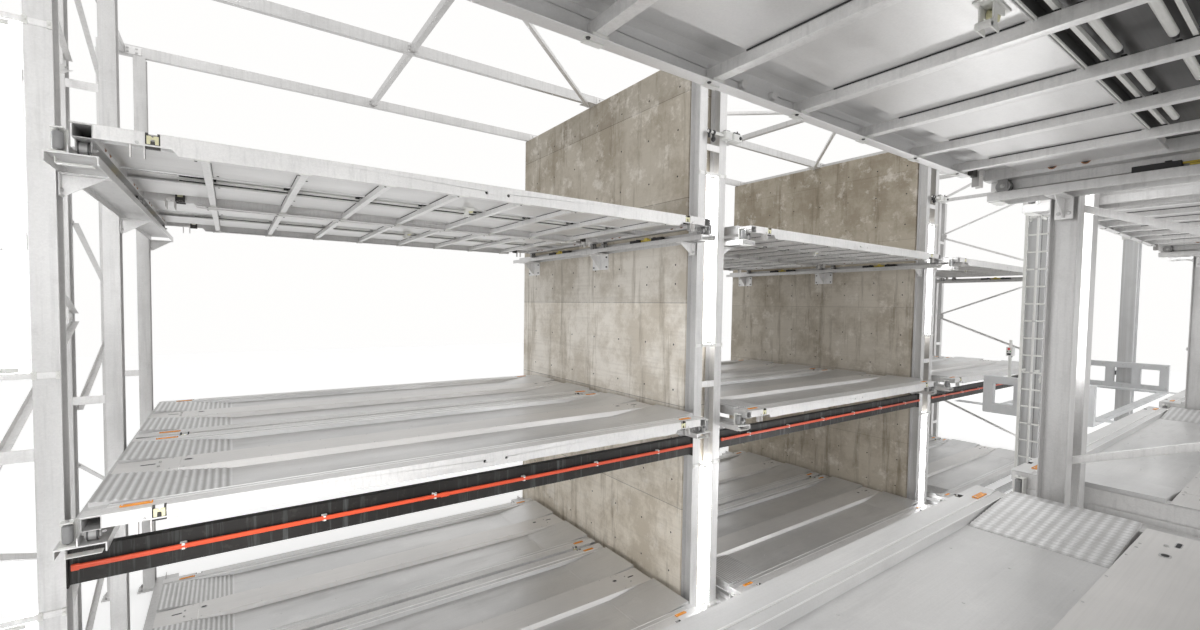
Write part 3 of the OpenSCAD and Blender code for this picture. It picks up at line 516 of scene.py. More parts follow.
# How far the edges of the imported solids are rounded, in metres
EDGE_NODES = {
    0.0012: ("hump_covers", "decks_a", "decks_b"),
    0.0015: ("battens", "end_bracing_a", "frame_bracing_b"),
    0.0018: ("side_beams_a", "side_beams_b", "end_beams", "cross_members_a", "cross_members_b"),
    0.002: ("base_plates", "posts_a_front", "posts_a_middle", "posts_a_rear", "posts_b_front",
            "posts_b_rear", "pallet_rails_a", "pallet_rails_b", "roof_beams", "latch_blocks",
            "reflectors"),
    0.003: ("front_beams", "rail_clips", "roof_cross_beams", "roof_bracing", "crane_base",
            "mast_ladder"),
    0.004: ("conductor_rail", "sensor_units", "crane_rails", "base_ties", "masts",
            "carriage_platform"),
    0.005: ("head_boxes",),
    0.006: ("carriage_frames", "carriage_guides", "control_post"),
    0.012: ("fin_wall_left", "fin_wall_right"),
}
NODE_EDGE = {name: width for width, names in EDGE_NODES.items() for name in names}


def dress_nodes(materials):
    """Gives each node of the model its material, and the listed nodes slightly rounded edges."""
    for part in frame["record"]["subparts"]:
        name = part["node"]
        mesh = nodes[name].data
        mesh.materials.clear()
        mesh.materials.append(materials[NODE_LOOK.get(name, part["material_slot"])])
        if name in NODE_EDGE:
            round_edges(nodes[name], NODE_EDGE[name])


def bevel_edges(piece, width):
    """Rounds the sharp edges of a piece."""
    bevel = piece.modifiers.new("edges", "BEVEL")
    bevel.width, bevel.segments, bevel.limit_method = width, 1, "ANGLE"
    bevel.angle_limit = math.radians(SHARP_EDGE)


def round_edges(piece, width):
    """Joins the split corners, rounds the sharp edges and evens the normals out."""
    weld = piece.modifiers.new("join", "WELD")
    weld.merge_threshold = WELD_WITHIN
    bevel_edges(piece, width)
    even = piece.modifiers.new("normals", "WEIGHTED_NORMAL")
    even.keep_sharp = False


# ---- small solids


# The record's slot for each look that isn't named after one
LOOK_SLOT = {
    "beam": "light_steel", "black": "dark_steel", "bolt": "galvanised_steel",
    "highlight_paint": "deck_steel", "carriage_paint": "crane_grey", "recess_shade": "dark_steel",
    "cream": "latch_paint", "dark_bolt": "dark_steel", "green_button": "box_white",
    "hole": "dark_steel", "red_button": "red_rail", "roller_grey": "dark_steel",
    "rope": "dark_steel", "rust": "dark_steel", "yellow": "latch_paint",
}

@lru_cache(maxsize=None)
def block(low, high):
    """A box between two corners."""
    (x0, y0, z0), (x1, y1, z1) = low, high
    corners = np.array([
        (x0, y0, z0), (x1, y0, z0), (x1, y1, z0), (x0, y1, z0),
        (x0, y0, z1), (x1, y0, z1), (x1, y1, z1), (x0, y1, z1)])
    faces = [(3, 2, 1, 0), (4, 5, 6, 7), (0, 1, 5, 4), (1, 2, 6, 5), (2, 3, 7, 6), (3, 0, 4, 7)]
    return corners, faces


def circles(profile, sides):
    """Corners of a circle about Z for each (radius, height)."""
    turns = [2 * math.pi * i / sides for i in range(sides)]
    return [(r * math.cos(a), r * math.sin(a), height) for r, height in profile for a in turns]


def band(a, b, sides):
    """Faces between two circles whose first corners are a and b."""
    return [(a + i, a + (i + 1) % sides, b + (i + 1) % sides, b + i) for i in range(sides)]


@lru_cache(maxsize=None)
def lathe(profile, sides):
    """A solid of revolution about Z: the profile lists (radius, height) from low to high."""
    corners, faces = circles(profile, sides), []
    for level in range(len(profile) - 1):
        faces += band(level * sides, (level + 1) * sides, sides)
    faces.append(tuple(range(sides - 1, -1, -1)))
    faces.append(tuple(range(len(corners) - sides, len(corners))))
    return np.array(corners), faces


@lru_cache(maxsize=None)
def ring(inner, outer, low, high, sides):
    """A flat ring about Z."""
    corners, faces = circles(((outer, low), (outer, high), (inner, high), (inner, low)), sides), []
    for level in range(4):
        faces += band(level * sides, (level + 1) % 4 * sides, sides)
    return np.array(corners), faces


@lru_cache(maxsize=None)
def prism(outline, low, high):
    """An outline in the XY plane, counter-clockwise, extruded along Z."""
    count = len(outline)
    corners = [(x, y, low) for x, y in outline] + [(x, y, high) for x, y in outline]
    faces = [tuple(range(count - 1, -1, -1)), tuple(range(count, 2 * count))]
    faces += [(i, (i + 1) % count, (i + 1) % count + count, i + count) for i in range(count)]
    return np.array(corners), faces


@lru_cache(maxsize=None)
def stadium(length, width, low, high, sides=8):
    """A slot shape along X, rounded at both ends."""
    r, half = width / 2, (length - width) / 2
    outline = []
    for i in range(sides + 1):
        a = -math.pi / 2 + math.pi * i / sides
        outline.append((half + r * math.cos(a), r * math.sin(a)))
    for i in range(sides + 1):
        a = math.pi / 2 + math.pi * i / sides
        outline.append((-half + r * math.cos(a), r * math.sin(a)))
    return prism(tuple(outline), low, high)


@lru_cache(maxsize=None)
def flat_plate(outline, thickness):
    """An outline of either turn, as a thin plate whose faces all point outwards."""
    area = sum(a[0] * b[1] - b[0] * a[1] for a, b in zip(outline, outline[1:] + outline[:1]))
    corners, faces = prism(outline, 0, thickness)
    if area > 0:
        faces = [face[::-1] for face in faces]
    return corners, faces


def facing(at, normal, turn=0.0):
    """A frame at a point whose Z axis is the given normal."""
    track = Vector(normal).to_track_quat("Z", "Y").to_matrix().to_4x4()
    return Matrix.Translation(at) @ track @ Matrix.Rotation(turn, 4, "Z")


def moved(x, y, z, turn=0.0):
    """A frame at a point, turned about Z."""
    return Matrix.Translation((x, y, z)) @ Matrix.Rotation(turn, 4, "Z")


class Solids:
    """Gathers small closed solids that become one piece."""

    def __init__(self):
        self.corners, self.faces, self.total = [], [], 0

    def add(self, template, place=None):
        corners, faces = template
        if place is not None:
            corners = corners @ np.array(place.to_3x3()).T + np.array(place.translation)
        self.corners.append(corners)
        self.faces += [tuple(i + self.total for i in face) for face in faces]
        self.total += len(corners)

    def box(self, x0, y0, z0, x1, y1, z1, place=None):
        low = (min(x0, x1), min(y0, y1), min(z0, z1))
        high = (max(x0, x1), max(y0, y1), max(z0, z1))
        self.add(block(low, high), place)

    def pad(self, x, y, half_x, half_y, z0, z1):
        """A box around a place in plan, from one height to another."""
        self.box(x - half_x, y - half_y, z0, x + half_x, y + half_y, z1)

    def turned(self, profile, sides, at, normal):
        """A solid of revolution that stands on a place along a direction."""
        self.add(lathe(profile, sides), facing(at, normal))

    def upright(self, outline, at, turn, low, high):
        """An upright plate: its outline from a place, its thickness from low to high."""
        self.add(prism(outline, low, high), Matrix.Translation(at) @ turn)

    def bolt(self, at, normal, d):
        """A washer with a hexagon head on it, for a thread of diameter d."""
        place = facing(at, normal, draw.uniform(0, math.pi / 3))
        self.add(lathe(((1.0 * d, 0), (1.0 * d, 0.18 * d)), 14), place)
        self.add(lathe(((0.87 * d, 0.18 * d), (0.87 * d, 0.72 * d), (0.74 * d, 0.82 * d)), 6), place)

    def nut(self, at, normal, d):
        """A washer, a nut and the end of its stud."""
        place = facing(at, normal, draw.uniform(0, math.pi / 3))
        self.add(lathe(((1.05 * d, 0), (1.05 * d, 0.18 * d)), 14), place)
        self.add(lathe(((0.87 * d, 0.18 * d), (0.87 * d, 0.95 * d), (0.76 * d, 1.04 * d)), 6), place)
        self.add(lathe(((0.5 * d, 1.0 * d), (0.5 * d, 1.5 * d), (0.4 * d, 1.6 * d)), 10), place)

    def screw(self, at, normal, r):
        """A low round head."""
        self.turned(((r, 0), (0.92 * r, 0.3 * r), (0.5 * r, 0.48 * r)), 10, at, normal)

    def rod(self, start, end, r, sides=14):
        """A round bar from one point to another."""
        start, end = Vector(start), Vector(end)
        self.turned(((r, 0), (r, (end - start).length)), sides, start, end - start)


def make_piece(name, solids, look, body="rack", edge=0.0, slot=None):
    """Turns the gathered solids into one piece that rides on a body."""
    slot = slot or LOOK_SLOT.get(look, look)
    mesh = bpy.data.meshes.new(name)
    mesh.from_pydata(np.concatenate(solids.corners).tolist(), [], solids.faces)
    mesh.shade_smooth()
    mesh.set_sharp_from_angle(angle=math.radians(SMOOTH_BELOW))
    mesh.materials.append(LOOK[look])
    piece = bpy.data.objects.new(name, mesh)
    bpy.context.scene.collection.objects.link(piece)
    if edge:
        bevel_edges(piece, edge)
    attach(piece, body)


def across(y):
    """A place across the aisle, in the model's frame."""
    return y + AISLE_Y


# ---- posts, bracing, walls and lamps


def post_fastenings():
    """Anchor nuts on the base plates and weld beads round the posts' feet."""
    nuts, welds = Solids(), Solids()
    plate_top = 0.02
    bead = 0.009
    for y, joints in POST_LINES:
        for joint, side in product(joints, SIDES):
            x = joint + side * PAIR_OFFSET
            for sx, sy in product(SIDES, SIDES):
                at = (x + sx * 0.09, across(y) + sy * 0.07, plate_top)
                nuts.nut(at, UP, 0.02)
            for sy in SIDES:
                outline = ((0, 0), (bead, 0), (0, bead))
                if sy < 0:
                    outline = ((0, 0), (0, bead), (-bead, 0))
                place = Matrix.Translation((x + 0.065, across(y) + sy * POST_HALF, plate_top))
                welds.add(prism(outline, 0, 0.13), place @ ALONG_Y_BACK)
    make_piece("anchor_nuts", nuts, "bolt")
    make_piece("post_welds", welds, "galvanised_steel", edge=0.001)


LAMP_Z = ((0.04, 1.99), (3.49, 5.71))


def lamp_details():
    """End caps and clamps of the lamps, with a conduit from one lamp to the next and to the roof."""
    caps, clamps, conduit, marks = Solids(), Solids(), Solids(), Solids()
    for joint, side in product(JOINT_X, SIDES):
        face = across(side * (POST_FRONT - POST_HALF))
        for low, high in LAMP_Z:
            for z, up in ((low, 1), (high, -1)):
                lamp_end(caps, clamps, joint, face, side, z, up)
            for share in (0.36, 0.68):
                z = low + (high - low) * share
                place = moved(joint, face + side * 0.019, z)
                marks.add(ring(0.0158, 0.019, -0.009, 0.009, 16), place)
        x = joint - 0.109
        y = face + side * 0.012
        for z0, z1 in ((1.96, 3.52), (5.68, POST_TOP)):
            conduit.rod((x, y, z0), (x, y, z1), 0.006, 10)
            for i in range(4):
                z = z0 + (i + 0.5) * (z1 - z0) / 4
                conduit.pad(x, y, 0.009, 0.009, z, z + 0.012)
    make_piece("lamp_end_caps", caps, "white_clip", edge=0.002)
    make_piece("lamp_clamps", clamps, "white_clip", edge=0.001)
    make_piece("lamp_conduits", conduit, "white_clip")
    make_piece("tube_sleeves", marks, "galvanised_steel")


def lamp_end(caps, clamps, joint, face, side, z, up):
    """A cap over the lamp's end block and the clamps of its strap at the flanges' edges."""
    strap_out = face - side * 0.004
    z0, z1 = (z + 0.042, z + 0.075) if up > 0 else (z - 0.075, z - 0.042)
    caps.box(joint - 0.06, face - side * 0.004, z0, joint + 0.06, face + side * 0.036, z1)
    mid = z + up * 0.02
    for x in (-PAIR_FACE + 0.011, -GAP_HALF - 0.011, GAP_HALF + 0.011, PAIR_FACE - 0.011):
        clamps.box(
            joint + x - 0.011, strap_out - side * 0.009, mid - 0.024,
            joint + x + 0.011, strap_out, mid + 0.024)
        clamps.bolt((joint + x, strap_out - side * 0.009, mid), (0, -side, 0), 0.008)


def brace_bars():
    """The ends of every angle of the K bracing, with the direction from one end to the other."""
    def storey_bars(x, direction, near_y, far_y):
        step = 1 if far_y > near_y else -1
        near, far = near_y + step * 0.04, far_y - step * 0.04
        for z in DECK_Z:
            yield x, direction, (near, z + 0.26), (far, z + 1.13)
            yield x, direction, (near, z + 2.08), (far, z + 1.21)
    for joint, direction in ((JOINT_X[0] - GAP_HALF, 1), (JOINT_X[-1] + GAP_HALF, -1)):
        yield from storey_bars(joint, direction, POST_FRONT, POST_MIDDLE)
        yield from storey_bars(joint, direction, POST_MIDDLE, POST_REAR)
    for joint in JOINT_X:
        yield from storey_bars(joint - GAP_HALF, 1, -POST_FRONT, -POST_MIDDLE)


def brace_fastenings():
    """Two bolts through each end of each angle, and a gusset between the two angles of a K."""
    bolts, gussets = Solids(), Solids()
    for x, direction, start, end in brace_bars():
        p, q = Vector((across(start[0]), start[1])), Vector((across(end[0]), end[1]))
        along = (q - p).normalized()
        for at in (p + along * 0.022, p + along * 0.062, q - along * 0.022, q - along * 0.062):
            bolts.bolt((x + direction * 0.005, at.x, at.y), (direction, 0, 0), 0.01)
    for x, direction, start, end in brace_bars():
        if end[1] > start[1]:
            y, z = across(end[0]), end[1] + 0.04
            step = 1 if end[0] > start[0] else -1
            outline = ((0.02, -0.1), (0.02, 0.1), (-0.11, 0.04), (-0.11, -0.04))
            points = tuple((step * a, b) for a, b in outline)
            if step < 0:
                points = points[::-1]
            depth = (-0.004, 0) if direction > 0 else (0, 0.004)
            gussets.upright(points, (x, y, z), ALONG_Y, *depth)
    make_piece("brace_bolts", bolts, "bolt")
    make_piece("brace_gussets", gussets, "light_steel", edge=0.001)


WALL_Y = (1.9, 6.415)
SEAM_Y = (2.635, 3.985, 5.335)
SEAM_Z = (1.36, 2.56, 3.94, 4.74, 5.95)
TIE_Y = (2.1, 2.68, 3.3, 3.94, 4.6, 5.29, 5.9)
TIE_Z = (0.45, 0.98, 1.7, 2.25, 2.9, 3.5, 4.3, 4.55, 5.2, 5.7, 6.3, 6.85)


def wall_details():
    """Formwork seams and tie holes on both sides of the concrete fins."""
    seams, plugs, holes = Solids(), Solids(), Solids()
    front, rear = across(WALL_Y[0]), across(WALL_Y[1])
    for joint, side in product(JOINT_X[1:-1], SIDES):
        x = joint + side * PAIR_FACE
        out = x + side * 0.0018
        for y in SEAM_Y:
            seams.box(x, across(y) - 0.002, 0.02, out, across(y) + 0.002, POST_TOP - 0.02)
        for z in SEAM_Z:
            seams.box(x, front + 0.02, z - 0.002, out, rear - 0.02, z + 0.002)
        for y, z in product(TIE_Y, TIE_Z):
            place = facing((x, across(y) + draw.uniform(-0.015, 0.015), z), (side, 0, 0))
            plugs.add(ring(0.013, 0.021, 0, 0.0016, 16), place)
            # the dark disc is painted shade inside the tie hole
            holes.add(lathe(((0.0128, 0), (0.0128, 0.0007)), 12), place)
    make_piece("formwork_seams", seams, "concrete")
    make_piece("tie_rims", plugs, "concrete")
    make_piece("tie_holes", holes, "hole")


# ---- pallet rails and what stands on them


def rail_ends():
    """Each pallet rail's post face, the direction away from it, and the rail's top."""
    for bay, z, side in product(BAY_X, DECK_Z, SIDES):
        yield bay + side * (BAY_PITCH / 2 - PAIR_FACE), -side, z - RAIL_DROP


def rail_supports():
    """Seats under the rails: cleats on posts, anchored brackets on walls, packers on the floor."""
    seats, bolts, anchors = Solids(), Solids(), Solids()
    for x, out, top in rail_ends():
        joint_inner = abs(x) < JOINT_X[-1] - 1
        low = top - RAIL_LIP
        on_floor = low < 0.1
        for y, joints in POST_LINES:
            if y > POST_FRONT and joint_inner:
                continue
            if on_floor:
                seats.box(x + out * 0.1, across(y) - 0.05, 0, x + out * RAIL_W, across(y) + 0.05, low)
                continue
            rail_seat(seats, x, out, across(y), low, 0.05, 0.15)
            for dy in (-0.028, 0.028):
                bolts.bolt((x + out * 0.01, across(y) + dy, low - 0.11), (out, 0, 0), 0.013)
        if joint_inner:
            for y in (3.795, 5.985):
                if on_floor:
                    seats.box(x, across(y) - 0.21, 0, x + out * RAIL_W, across(y) + 0.21, low)
                    continue
                rail_seat(seats, x, out, across(y), low, 0.21, 0.24)
                for dz, dy in product((-0.05, -0.2), (-0.17, 0.17)):
                    anchors.nut((x + out * 0.01, across(y) + dy, low + dz), (out, 0, 0), 0.013)
    make_piece("rail_seats", seats, "light_steel", edge=0.0012)
    make_piece("rail_seat_bolts", bolts, "bolt")
    make_piece("wall_anchors", anchors, "dark_bolt")


def rail_seat(seats, x, out, y, top, half, height):
    """A back plate, a shelf under the rail and one gusset in the middle."""
    t = 0.01
    seats.box(x, y - half, top - height, x + out * t, y + half, top)
    seats.box(x + out * t, y - half, top - t, x + out * RAIL_W, y + half, top)
    reach = RAIL_W - 0.03
    if out > 0:
        points = ((0, 0), (0, 0.02 - height), (0.02, 0.02 - height), (reach, 0))
    else:
        points = ((0, 0), (-reach, 0), (-0.02, 0.02 - height), (0, 0.02 - height))
    seats.upright(points, (x + out * t, y, top - t), ALONG_X, -0.004, 0.004)


def rail_fittings():
    """Guide rollers at the rails' aisle ends and the locks in the middle of each pallet's end."""
    stands, rollers, locks, levers, bolts = Solids(), Solids(), Solids(), Solids(), Solids()
    for x, out, top in rail_ends():
        for side in SIDES:
            place = (x + out * 0.06, across(side * (RAIL_START + 0.045)), top)
            guide_roller(stands, rollers, bolts, *place, side)
            foot, low, near = across(side * RAIL_START), top - RAIL_LIP, x + out * 0.05
            stands.box(near, foot, low - 0.006, x + out * 0.22, foot + side * 0.07, low)
            stands.box(near, foot + side * 0.002, low, x + out * 0.056, foot + side * 0.05, low + 0.03)
        for y in ALL_ROWS:
            rail_lock(locks, levers, bolts, x + out * 0.175, across(y), top)
    make_piece("rail_end_stands", stands, "white_clip", edge=0.0012)
    make_piece("guide_rollers", rollers, "roller_grey")
    make_piece("rail_locks", locks, "black", edge=0.002)
    make_piece("lock_levers", levers, "yellow", edge=0.0015)
    make_piece("rail_fitting_bolts", bolts, "bolt")


def guide_roller(stands, rollers, bolts, x, y, top, side):
    """An upright roller in a folded bracket."""
    stands.pad(x, y, 0.04, 0.04, top, top + 0.008)
    stands.box(x - 0.04, y + side * 0.032, top + 0.008, x + 0.04, y + side * 0.04, top + 0.15)
    stands.box(x - 0.03, y - side * 0.03, top + 0.142, x + 0.03, y + side * 0.032, top + 0.15)
    profile = ((0.022, 0.02), (0.027, 0.026), (0.027, 0.122), (0.022, 0.128))
    rollers.add(lathe(profile, 20), moved(x, y, top))
    rollers.rod((x, y, top + 0.006), (x, y, top + 0.144), 0.007, 10)
    bolts.bolt((x, y, top + 0.15), UP, 0.01)


def rail_lock(locks, levers, bolts, x, y, top):
    """Two black blocks with a yellow lever between them, on the rail under the pallet's end."""
    for side in SIDES:
        locks.box(x - 0.03, y + side * 0.12, top, x + 0.03, y + side * 0.33, top + 0.045)
        locks.box(x - 0.034, y + side * 0.16, top + 0.045, x + 0.034, y + side * 0.19, top + 0.052)
        bolts.bolt((x, y + side * 0.25, top + 0.045), UP, 0.008)
    levers.pad(x, y, 0.026, 0.09, top, top + 0.02)
    levers.upright(
        ((-0.05, 0.02), (0.05, 0.02), (0.02, 0.06), (-0.02, 0.06)), (x, y, top), ALONG_Y, -0.02,
        0.02)
    levers.rod((x, y - 0.12, top + 0.032), (x, y + 0.12, top + 0.032), 0.007, 10)


# ---- pallets


def pallets(rows):
    """The middle of each pallet, at the top of its side beams."""
    for bay, y, z in product(BAY_X, rows, DECK_Z):
        yield Vector((bay, across(y), z))


def corners_of(rows):
    """Each pallet corner as a function of the distances from its end, its side and its top."""
    for centre, ex, ey in product(pallets(rows), SIDES, SIDES):
        def at(along, off, rise, c=centre, ex=ex, ey=ey):
            return Vector((
                c.x + ex * (PALLET_L / 2 - along), c.y + ey * (PALLET_W / 2 - off), c.z + rise))
        yield at, ex, ey


def cross_member_ends(rows, suffix):
    """Lugs and bolts where the cross members meet the side beams, and black strips of painted shadow
    beside the cross members, under the deck sheet.
    """
    lugs, bolts, painted_lines = Solids(), Solids(), Solids()
    for centre, x in product(pallets(rows), CROSS_X):
        cx = centre.x + x
        for ey in SIDES:
            edge = centre.y + ey * PALLET_W / 2
            lugs.box(cx - 0.034, edge - ey * 0.007, centre.z - 0.119,
                     cx + 0.034, edge - ey * 0.058, centre.z - 0.109)
            lugs.box(cx - 0.05, edge - ey * 0.002, centre.z + FOOT_Z - 0.005,
                     cx + 0.03, edge - ey * 0.03, centre.z + FOOT_Z)
            at = Vector((cx - 0.046, edge - ey * 0.044, centre.z + FOOT_Z))
            lugs.add(ring(0.0095, 0.017, 0, 0.003, 14), facing(at, DOWN))
            bolts.bolt(at, DOWN, 0.0095)
            # black strips of painted shadow along both sides of the cross member, under the deck sheet
            for ex in SIDES:
                painted_lines.box(cx + ex * CROSS_HALF, centre.y + ey * 0.2, centre.z + DECK_UNDER - 0.005,
                          cx + ex * (CROSS_HALF + 0.004), centre.y + ey * 0.885, centre.z + DECK_UNDER)
    make_piece("cross_member_lugs" + suffix, lugs, "white_clip", slot="light_steel")
    make_piece("cross_member_bolts" + suffix, bolts, "dark_bolt")
    make_piece("cross_member_painted_lines" + suffix, painted_lines, "black")


def deck_screws(rows, suffix):
    """Screws of the track sheets, above and below, beside every cross member."""
    above, below = Solids(), Solids()
    for centre, (i, x), ey, off in product(
            pallets(rows), enumerate(CROSS_X), SIDES, (0.3, 0.58, 0.84)):
        y = centre.y + ey * (PALLET_W / 2 - off)
        if abs(x) < 1.9:
            above.screw((centre.x + x, y, centre.z - 0.055), UP, 0.008)
        if (i + int(off * 10)) % 2 == 0:
            below.screw((centre.x + x + 0.06, y, centre.z + DECK_UNDER), DOWN, 0.009)
    make_piece("deck_screws_top" + suffix, above, "deck_steel")
    make_piece("deck_screws_under" + suffix, below, "dark_bolt")


def flange_painted_lines(rows, suffix):
    """Painted highlights: near-white strips along the folded edges of the track sheets, at the side
    beams' flanges and the shelf.
    """
    painted_lines = Solids()
    for centre, ey in product(pallets(rows), SIDES):
        y = centre.y + ey * (PALLET_W / 2 - FLANGE_W)
        x0, x1, z = centre.x - SHEET_HALF, centre.x + SHEET_HALF, centre.z
        # painted highlights: near-white strips along the flange's inner edge and, lower, along the
        # fold at the shelf
        painted_lines.box(x0, y, z - 0.006, x1, y - ey * 0.008, z + 0.001)
        fold = centre.y + ey * SHELF_END
        painted_lines.box(x0, fold, z - 0.008, x1, fold + ey * 0.006, z - 0.003)
    make_piece("painted_edge_highlights" + suffix, painted_lines, "highlight_paint")


def cover_details(rows, suffix):
    """Slots, rimmed oval holes, bolts and rivets of the middle covers."""
    dark, rims, bolts = Solids(), Solids(), Solids()
    for centre in pallets(rows):
        for ex in SIDES:
            def at(along, y, rise, c=centre, ex=ex):
                return Vector((c.x + ex * (PALLET_L / 2 - along), c.y + y, c.z + rise))
            low, high = -0.002, 0.0
            # the dark slot shapes are painted shade inside the slots and oval holes
            dark.add(stadium(0.095, 0.02, 0, 0.0012), Matrix.Translation(at(0.212, 0.03, low)))
            rims.add(stadium(0.105, 0.03, 0, 0.0008), Matrix.Translation(at(0.212, 0.03, low)))
            bolts.bolt(at(0.285, 0.07, low), UP, 0.012)
            bolts.bolt(at(0.285, -0.07, low), UP, 0.012)
            rims.add(stadium(0.068, 0.05, 0, 0.003), Matrix.Translation(at(0.47, 0.05, high)))
            dark.add(stadium(0.05, 0.032, 0.0005, 0.0036), Matrix.Translation(at(0.47, 0.05, high)))
            for along, y in product((0.36, 0.45), (-0.165, 0.165)):
                bolts.screw(at(along, y, low if along < 0.42 else high), UP, 0.008)
        for i, y in product(range(11), (-0.176, 0.176)):
            bolts.screw(centre + Vector((-2.1 + i * 0.42, y, 0)), UP, 0.0065)
    make_piece("cover_slots" + suffix, dark, "hole")
    make_piece("cover_rims" + suffix, rims, "bolt", slot="light_steel")
    make_piece("cover_bolts" + suffix, bolts, "bolt")


def end_beam_holes():
    """Rimmed round holes in the inner faces of the end beams."""
    dark, rims = Solids(), Solids()
    for (at, ex, ey), off in product(corners_of(ALL_ROWS), (0.39, 0.56)):
        place = facing(at(0.104, off, -0.05), (-ex, 0, 0))
        rims.add(ring(0.019, 0.026, 0, 0.003, 20), place)
        # the dark disc is painted shade inside the hole
        dark.add(lathe(((0.0188, 0), (0.0188, 0.0015)), 16), place)
    make_piece("end_beam_rims", rims, "rust")
    make_piece("end_beam_holes", dark, "hole")


def latch_details():
    """Cream jaws and bolts of the latches, and screws of the reflectors."""
    jaws, bolts = Solids(), Solids()
    outline = (
        (-0.03, -0.026), (-0.012, -0.026), (-0.01, 0.004), (0.01, 0.004), (0.012, -0.026),
        (0.03, -0.026), (0.03, 0.026), (0.008, 0.026), (0.0, 0.014), (-0.008, 0.026), (-0.03, 0.026))
    for at, ex, ey in corners_of(ALL_ROWS):
        middle = at(0.38, 0, -0.045)
        face = middle.y
        depth = (-0.006, 0.004) if ey < 0 else (-0.004, 0.006)
        place = Matrix.Translation((middle.x, face - ey * 0.005, middle.z))
        jaws.add(prism(outline, *depth), place @ ALONG_X)
        fork = at(0.3045, 0.006, -0.07)
        bolts.bolt(Vector((fork.x, face + ey * 0.0005, fork.z)), (0, ey, 0), 0.01)
        for along in (0.187, 0.328):
            bolts.screw(at(along, 0.107, 0.008), UP, 0.006)
    make_piece("latch_jaws", jaws, "cream", edge=0.0008)
    make_piece("latch_bolts", bolts, "bolt")


def roller_details():
    """Nuts on the roller axles, and the rims and grooves of the rollers."""
    nuts, rims = Solids(), Solids()
    for at, ex, ey in corners_of(ALL_ROWS):
        centre = at(0.05, 0.11, -0.138)
        for side in SIDES:
            nuts.nut(centre + Vector((side * 0.039, 0, 0)), (side, 0, 0), 0.014)
            rims.add(ring(0.03, 0.0465, 0.018, 0.0275, 22), facing(centre, (side, 0, 0)))
    make_piece("roller_nuts", nuts, "bolt")
    make_piece("roller_rims", rims, "dark_bolt", edge=0.001)


def hanging_brackets():
    """A white hook with a small pulley under each pallet, beside the middle recess."""
    plates, pulleys = Solids(), Solids()
    hook = ((-0.03, 0), (-0.03, -0.05), (-0.05, -0.075), (-0.05, -0.085), (0.02, -0.085),
            (0.02, -0.075), (0.0, -0.06), (0.0, -0.03), (0.06, -0.02), (0.06, 0))
    groove = ((0.02, -0.014), (0.024, -0.012), (0.018, -0.004), (0.018, 0.004), (0.024, 0.012),
              (0.02, 0.014))
    for centre in pallets(ALL_ROWS):
        ey = 1 if centre.y < AISLE_Y else -1
        x, y, top = centre.x + 0.06, centre.y + ey * 0.23, centre.z + DECK_UNDER
        plates.box(x - 0.06, y - 0.03, top - 0.006, x + 0.09, y + 0.03, top)
        for dy in (-0.022, 0.016):
            place = Matrix.Translation((x, y + dy + 0.006, top - 0.006))
            plates.add(prism(hook, 0, 0.006), place @ ALONG_X)
        pulleys.turned(groove, 24, (x + 0.03, y, top - 0.026), (0, 1, 0))
        pin_x, pin_z = x - 0.045, top - 0.078
        plates.rod((pin_x, y - 0.022, pin_z), (pin_x, y + 0.022, pin_z), 0.012, 16)
    make_piece("hanging_hooks", plates, "white_clip", edge=0.0015)
    make_piece("hook_pulleys", pulleys, "cream", slot="white_clip")


def recess_details(rows, suffix):
    """Under the middle cover: near-black sheets of painted shade on its walls, a bright lip, a thin
    bar and tubes with round ends.
    """
    shade_sheets, lips, bars, saddles = Solids(), Solids(), Solids(), Solids()
    wall = HUMP_W / 2 - 0.017
    for centre in pallets(rows):
        x, z = centre.x, centre.z
        for side in SIDES:
            y = centre.y + side * wall
            # near-black sheets of painted shade on the recess walls
            shade_sheets.box(x - RECESS_HALF, y, z - 0.056, x + RECESS_HALF, y - side * 0.002, z - 0.006)
            lips.box(x - RECESS_HALF, y + side * 0.001, z - 0.066,
                     x + RECESS_HALF, y - side * 0.005, z - 0.056)
            y = centre.y + side * (wall - 0.052)
            bars.pad(x, y, RECESS_HALF, 0.007, z - 0.052, z - 0.03)
            for cross in CROSS_X:
                saddles.pad(x + cross, y, 0.02, 0.012, z + DECK_UNDER, z - 0.052)
            y = centre.y + side * (wall - 0.1)
            for start, end in zip(CROSS_X, CROSS_X[1:]):
                push_tube(bars, x + start + 0.04, x + end - 0.06, y, z - 0.04)
                saddles.box(
                    x + start + 0.025, y - 0.008, z - 0.046, x + end - 0.025, y + 0.008, z - 0.034)
    make_piece("recess_shade_sheets" + suffix, shade_sheets, "recess_shade")
    make_piece("recess_lips" + suffix, lips, "white_clip", edge=0.0008, slot="light_steel")
    make_piece("recess_bars" + suffix, bars, "white_clip", slot="light_steel")
    make_piece("recess_saddles" + suffix, saddles, "black")


def push_tube(bars, x0, x1, y, z):
    """A tube with rounded ends along X."""
    r, length = 0.0145, x1 - x0
    profile = ((0.4 * r, 0), (0.8 * r, 0.35 * r), (r, 0.9 * r), (r, length - 0.9 * r),
               (0.8 * r, length - 0.35 * r), (0.4 * r, length))
    bars.turned(profile, 20, (x0, y, z), (1, 0, 0))


def end_plates():
    """Closing sheets on the ends of the single row's end beams, each with a folded foot."""
    plates = Solids()
    half = PALLET_W / 2 - 0.012
    for centre, ex in product(pallets(ROWS_B), SIDES):
        x = centre.x + ex * PALLET_L / 2
        inner, low = x - ex * 0.003, centre.z - 0.158
        plates.box(x, centre.y - half, low, inner, centre.y + half, centre.z - 0.012)
        plates.box(inner, centre.y - half, low, x - ex * 0.02, centre.y + half, centre.z - 0.155)
    make_piece("pallet_end_sheets", plates, "beam", edge=0.0008)


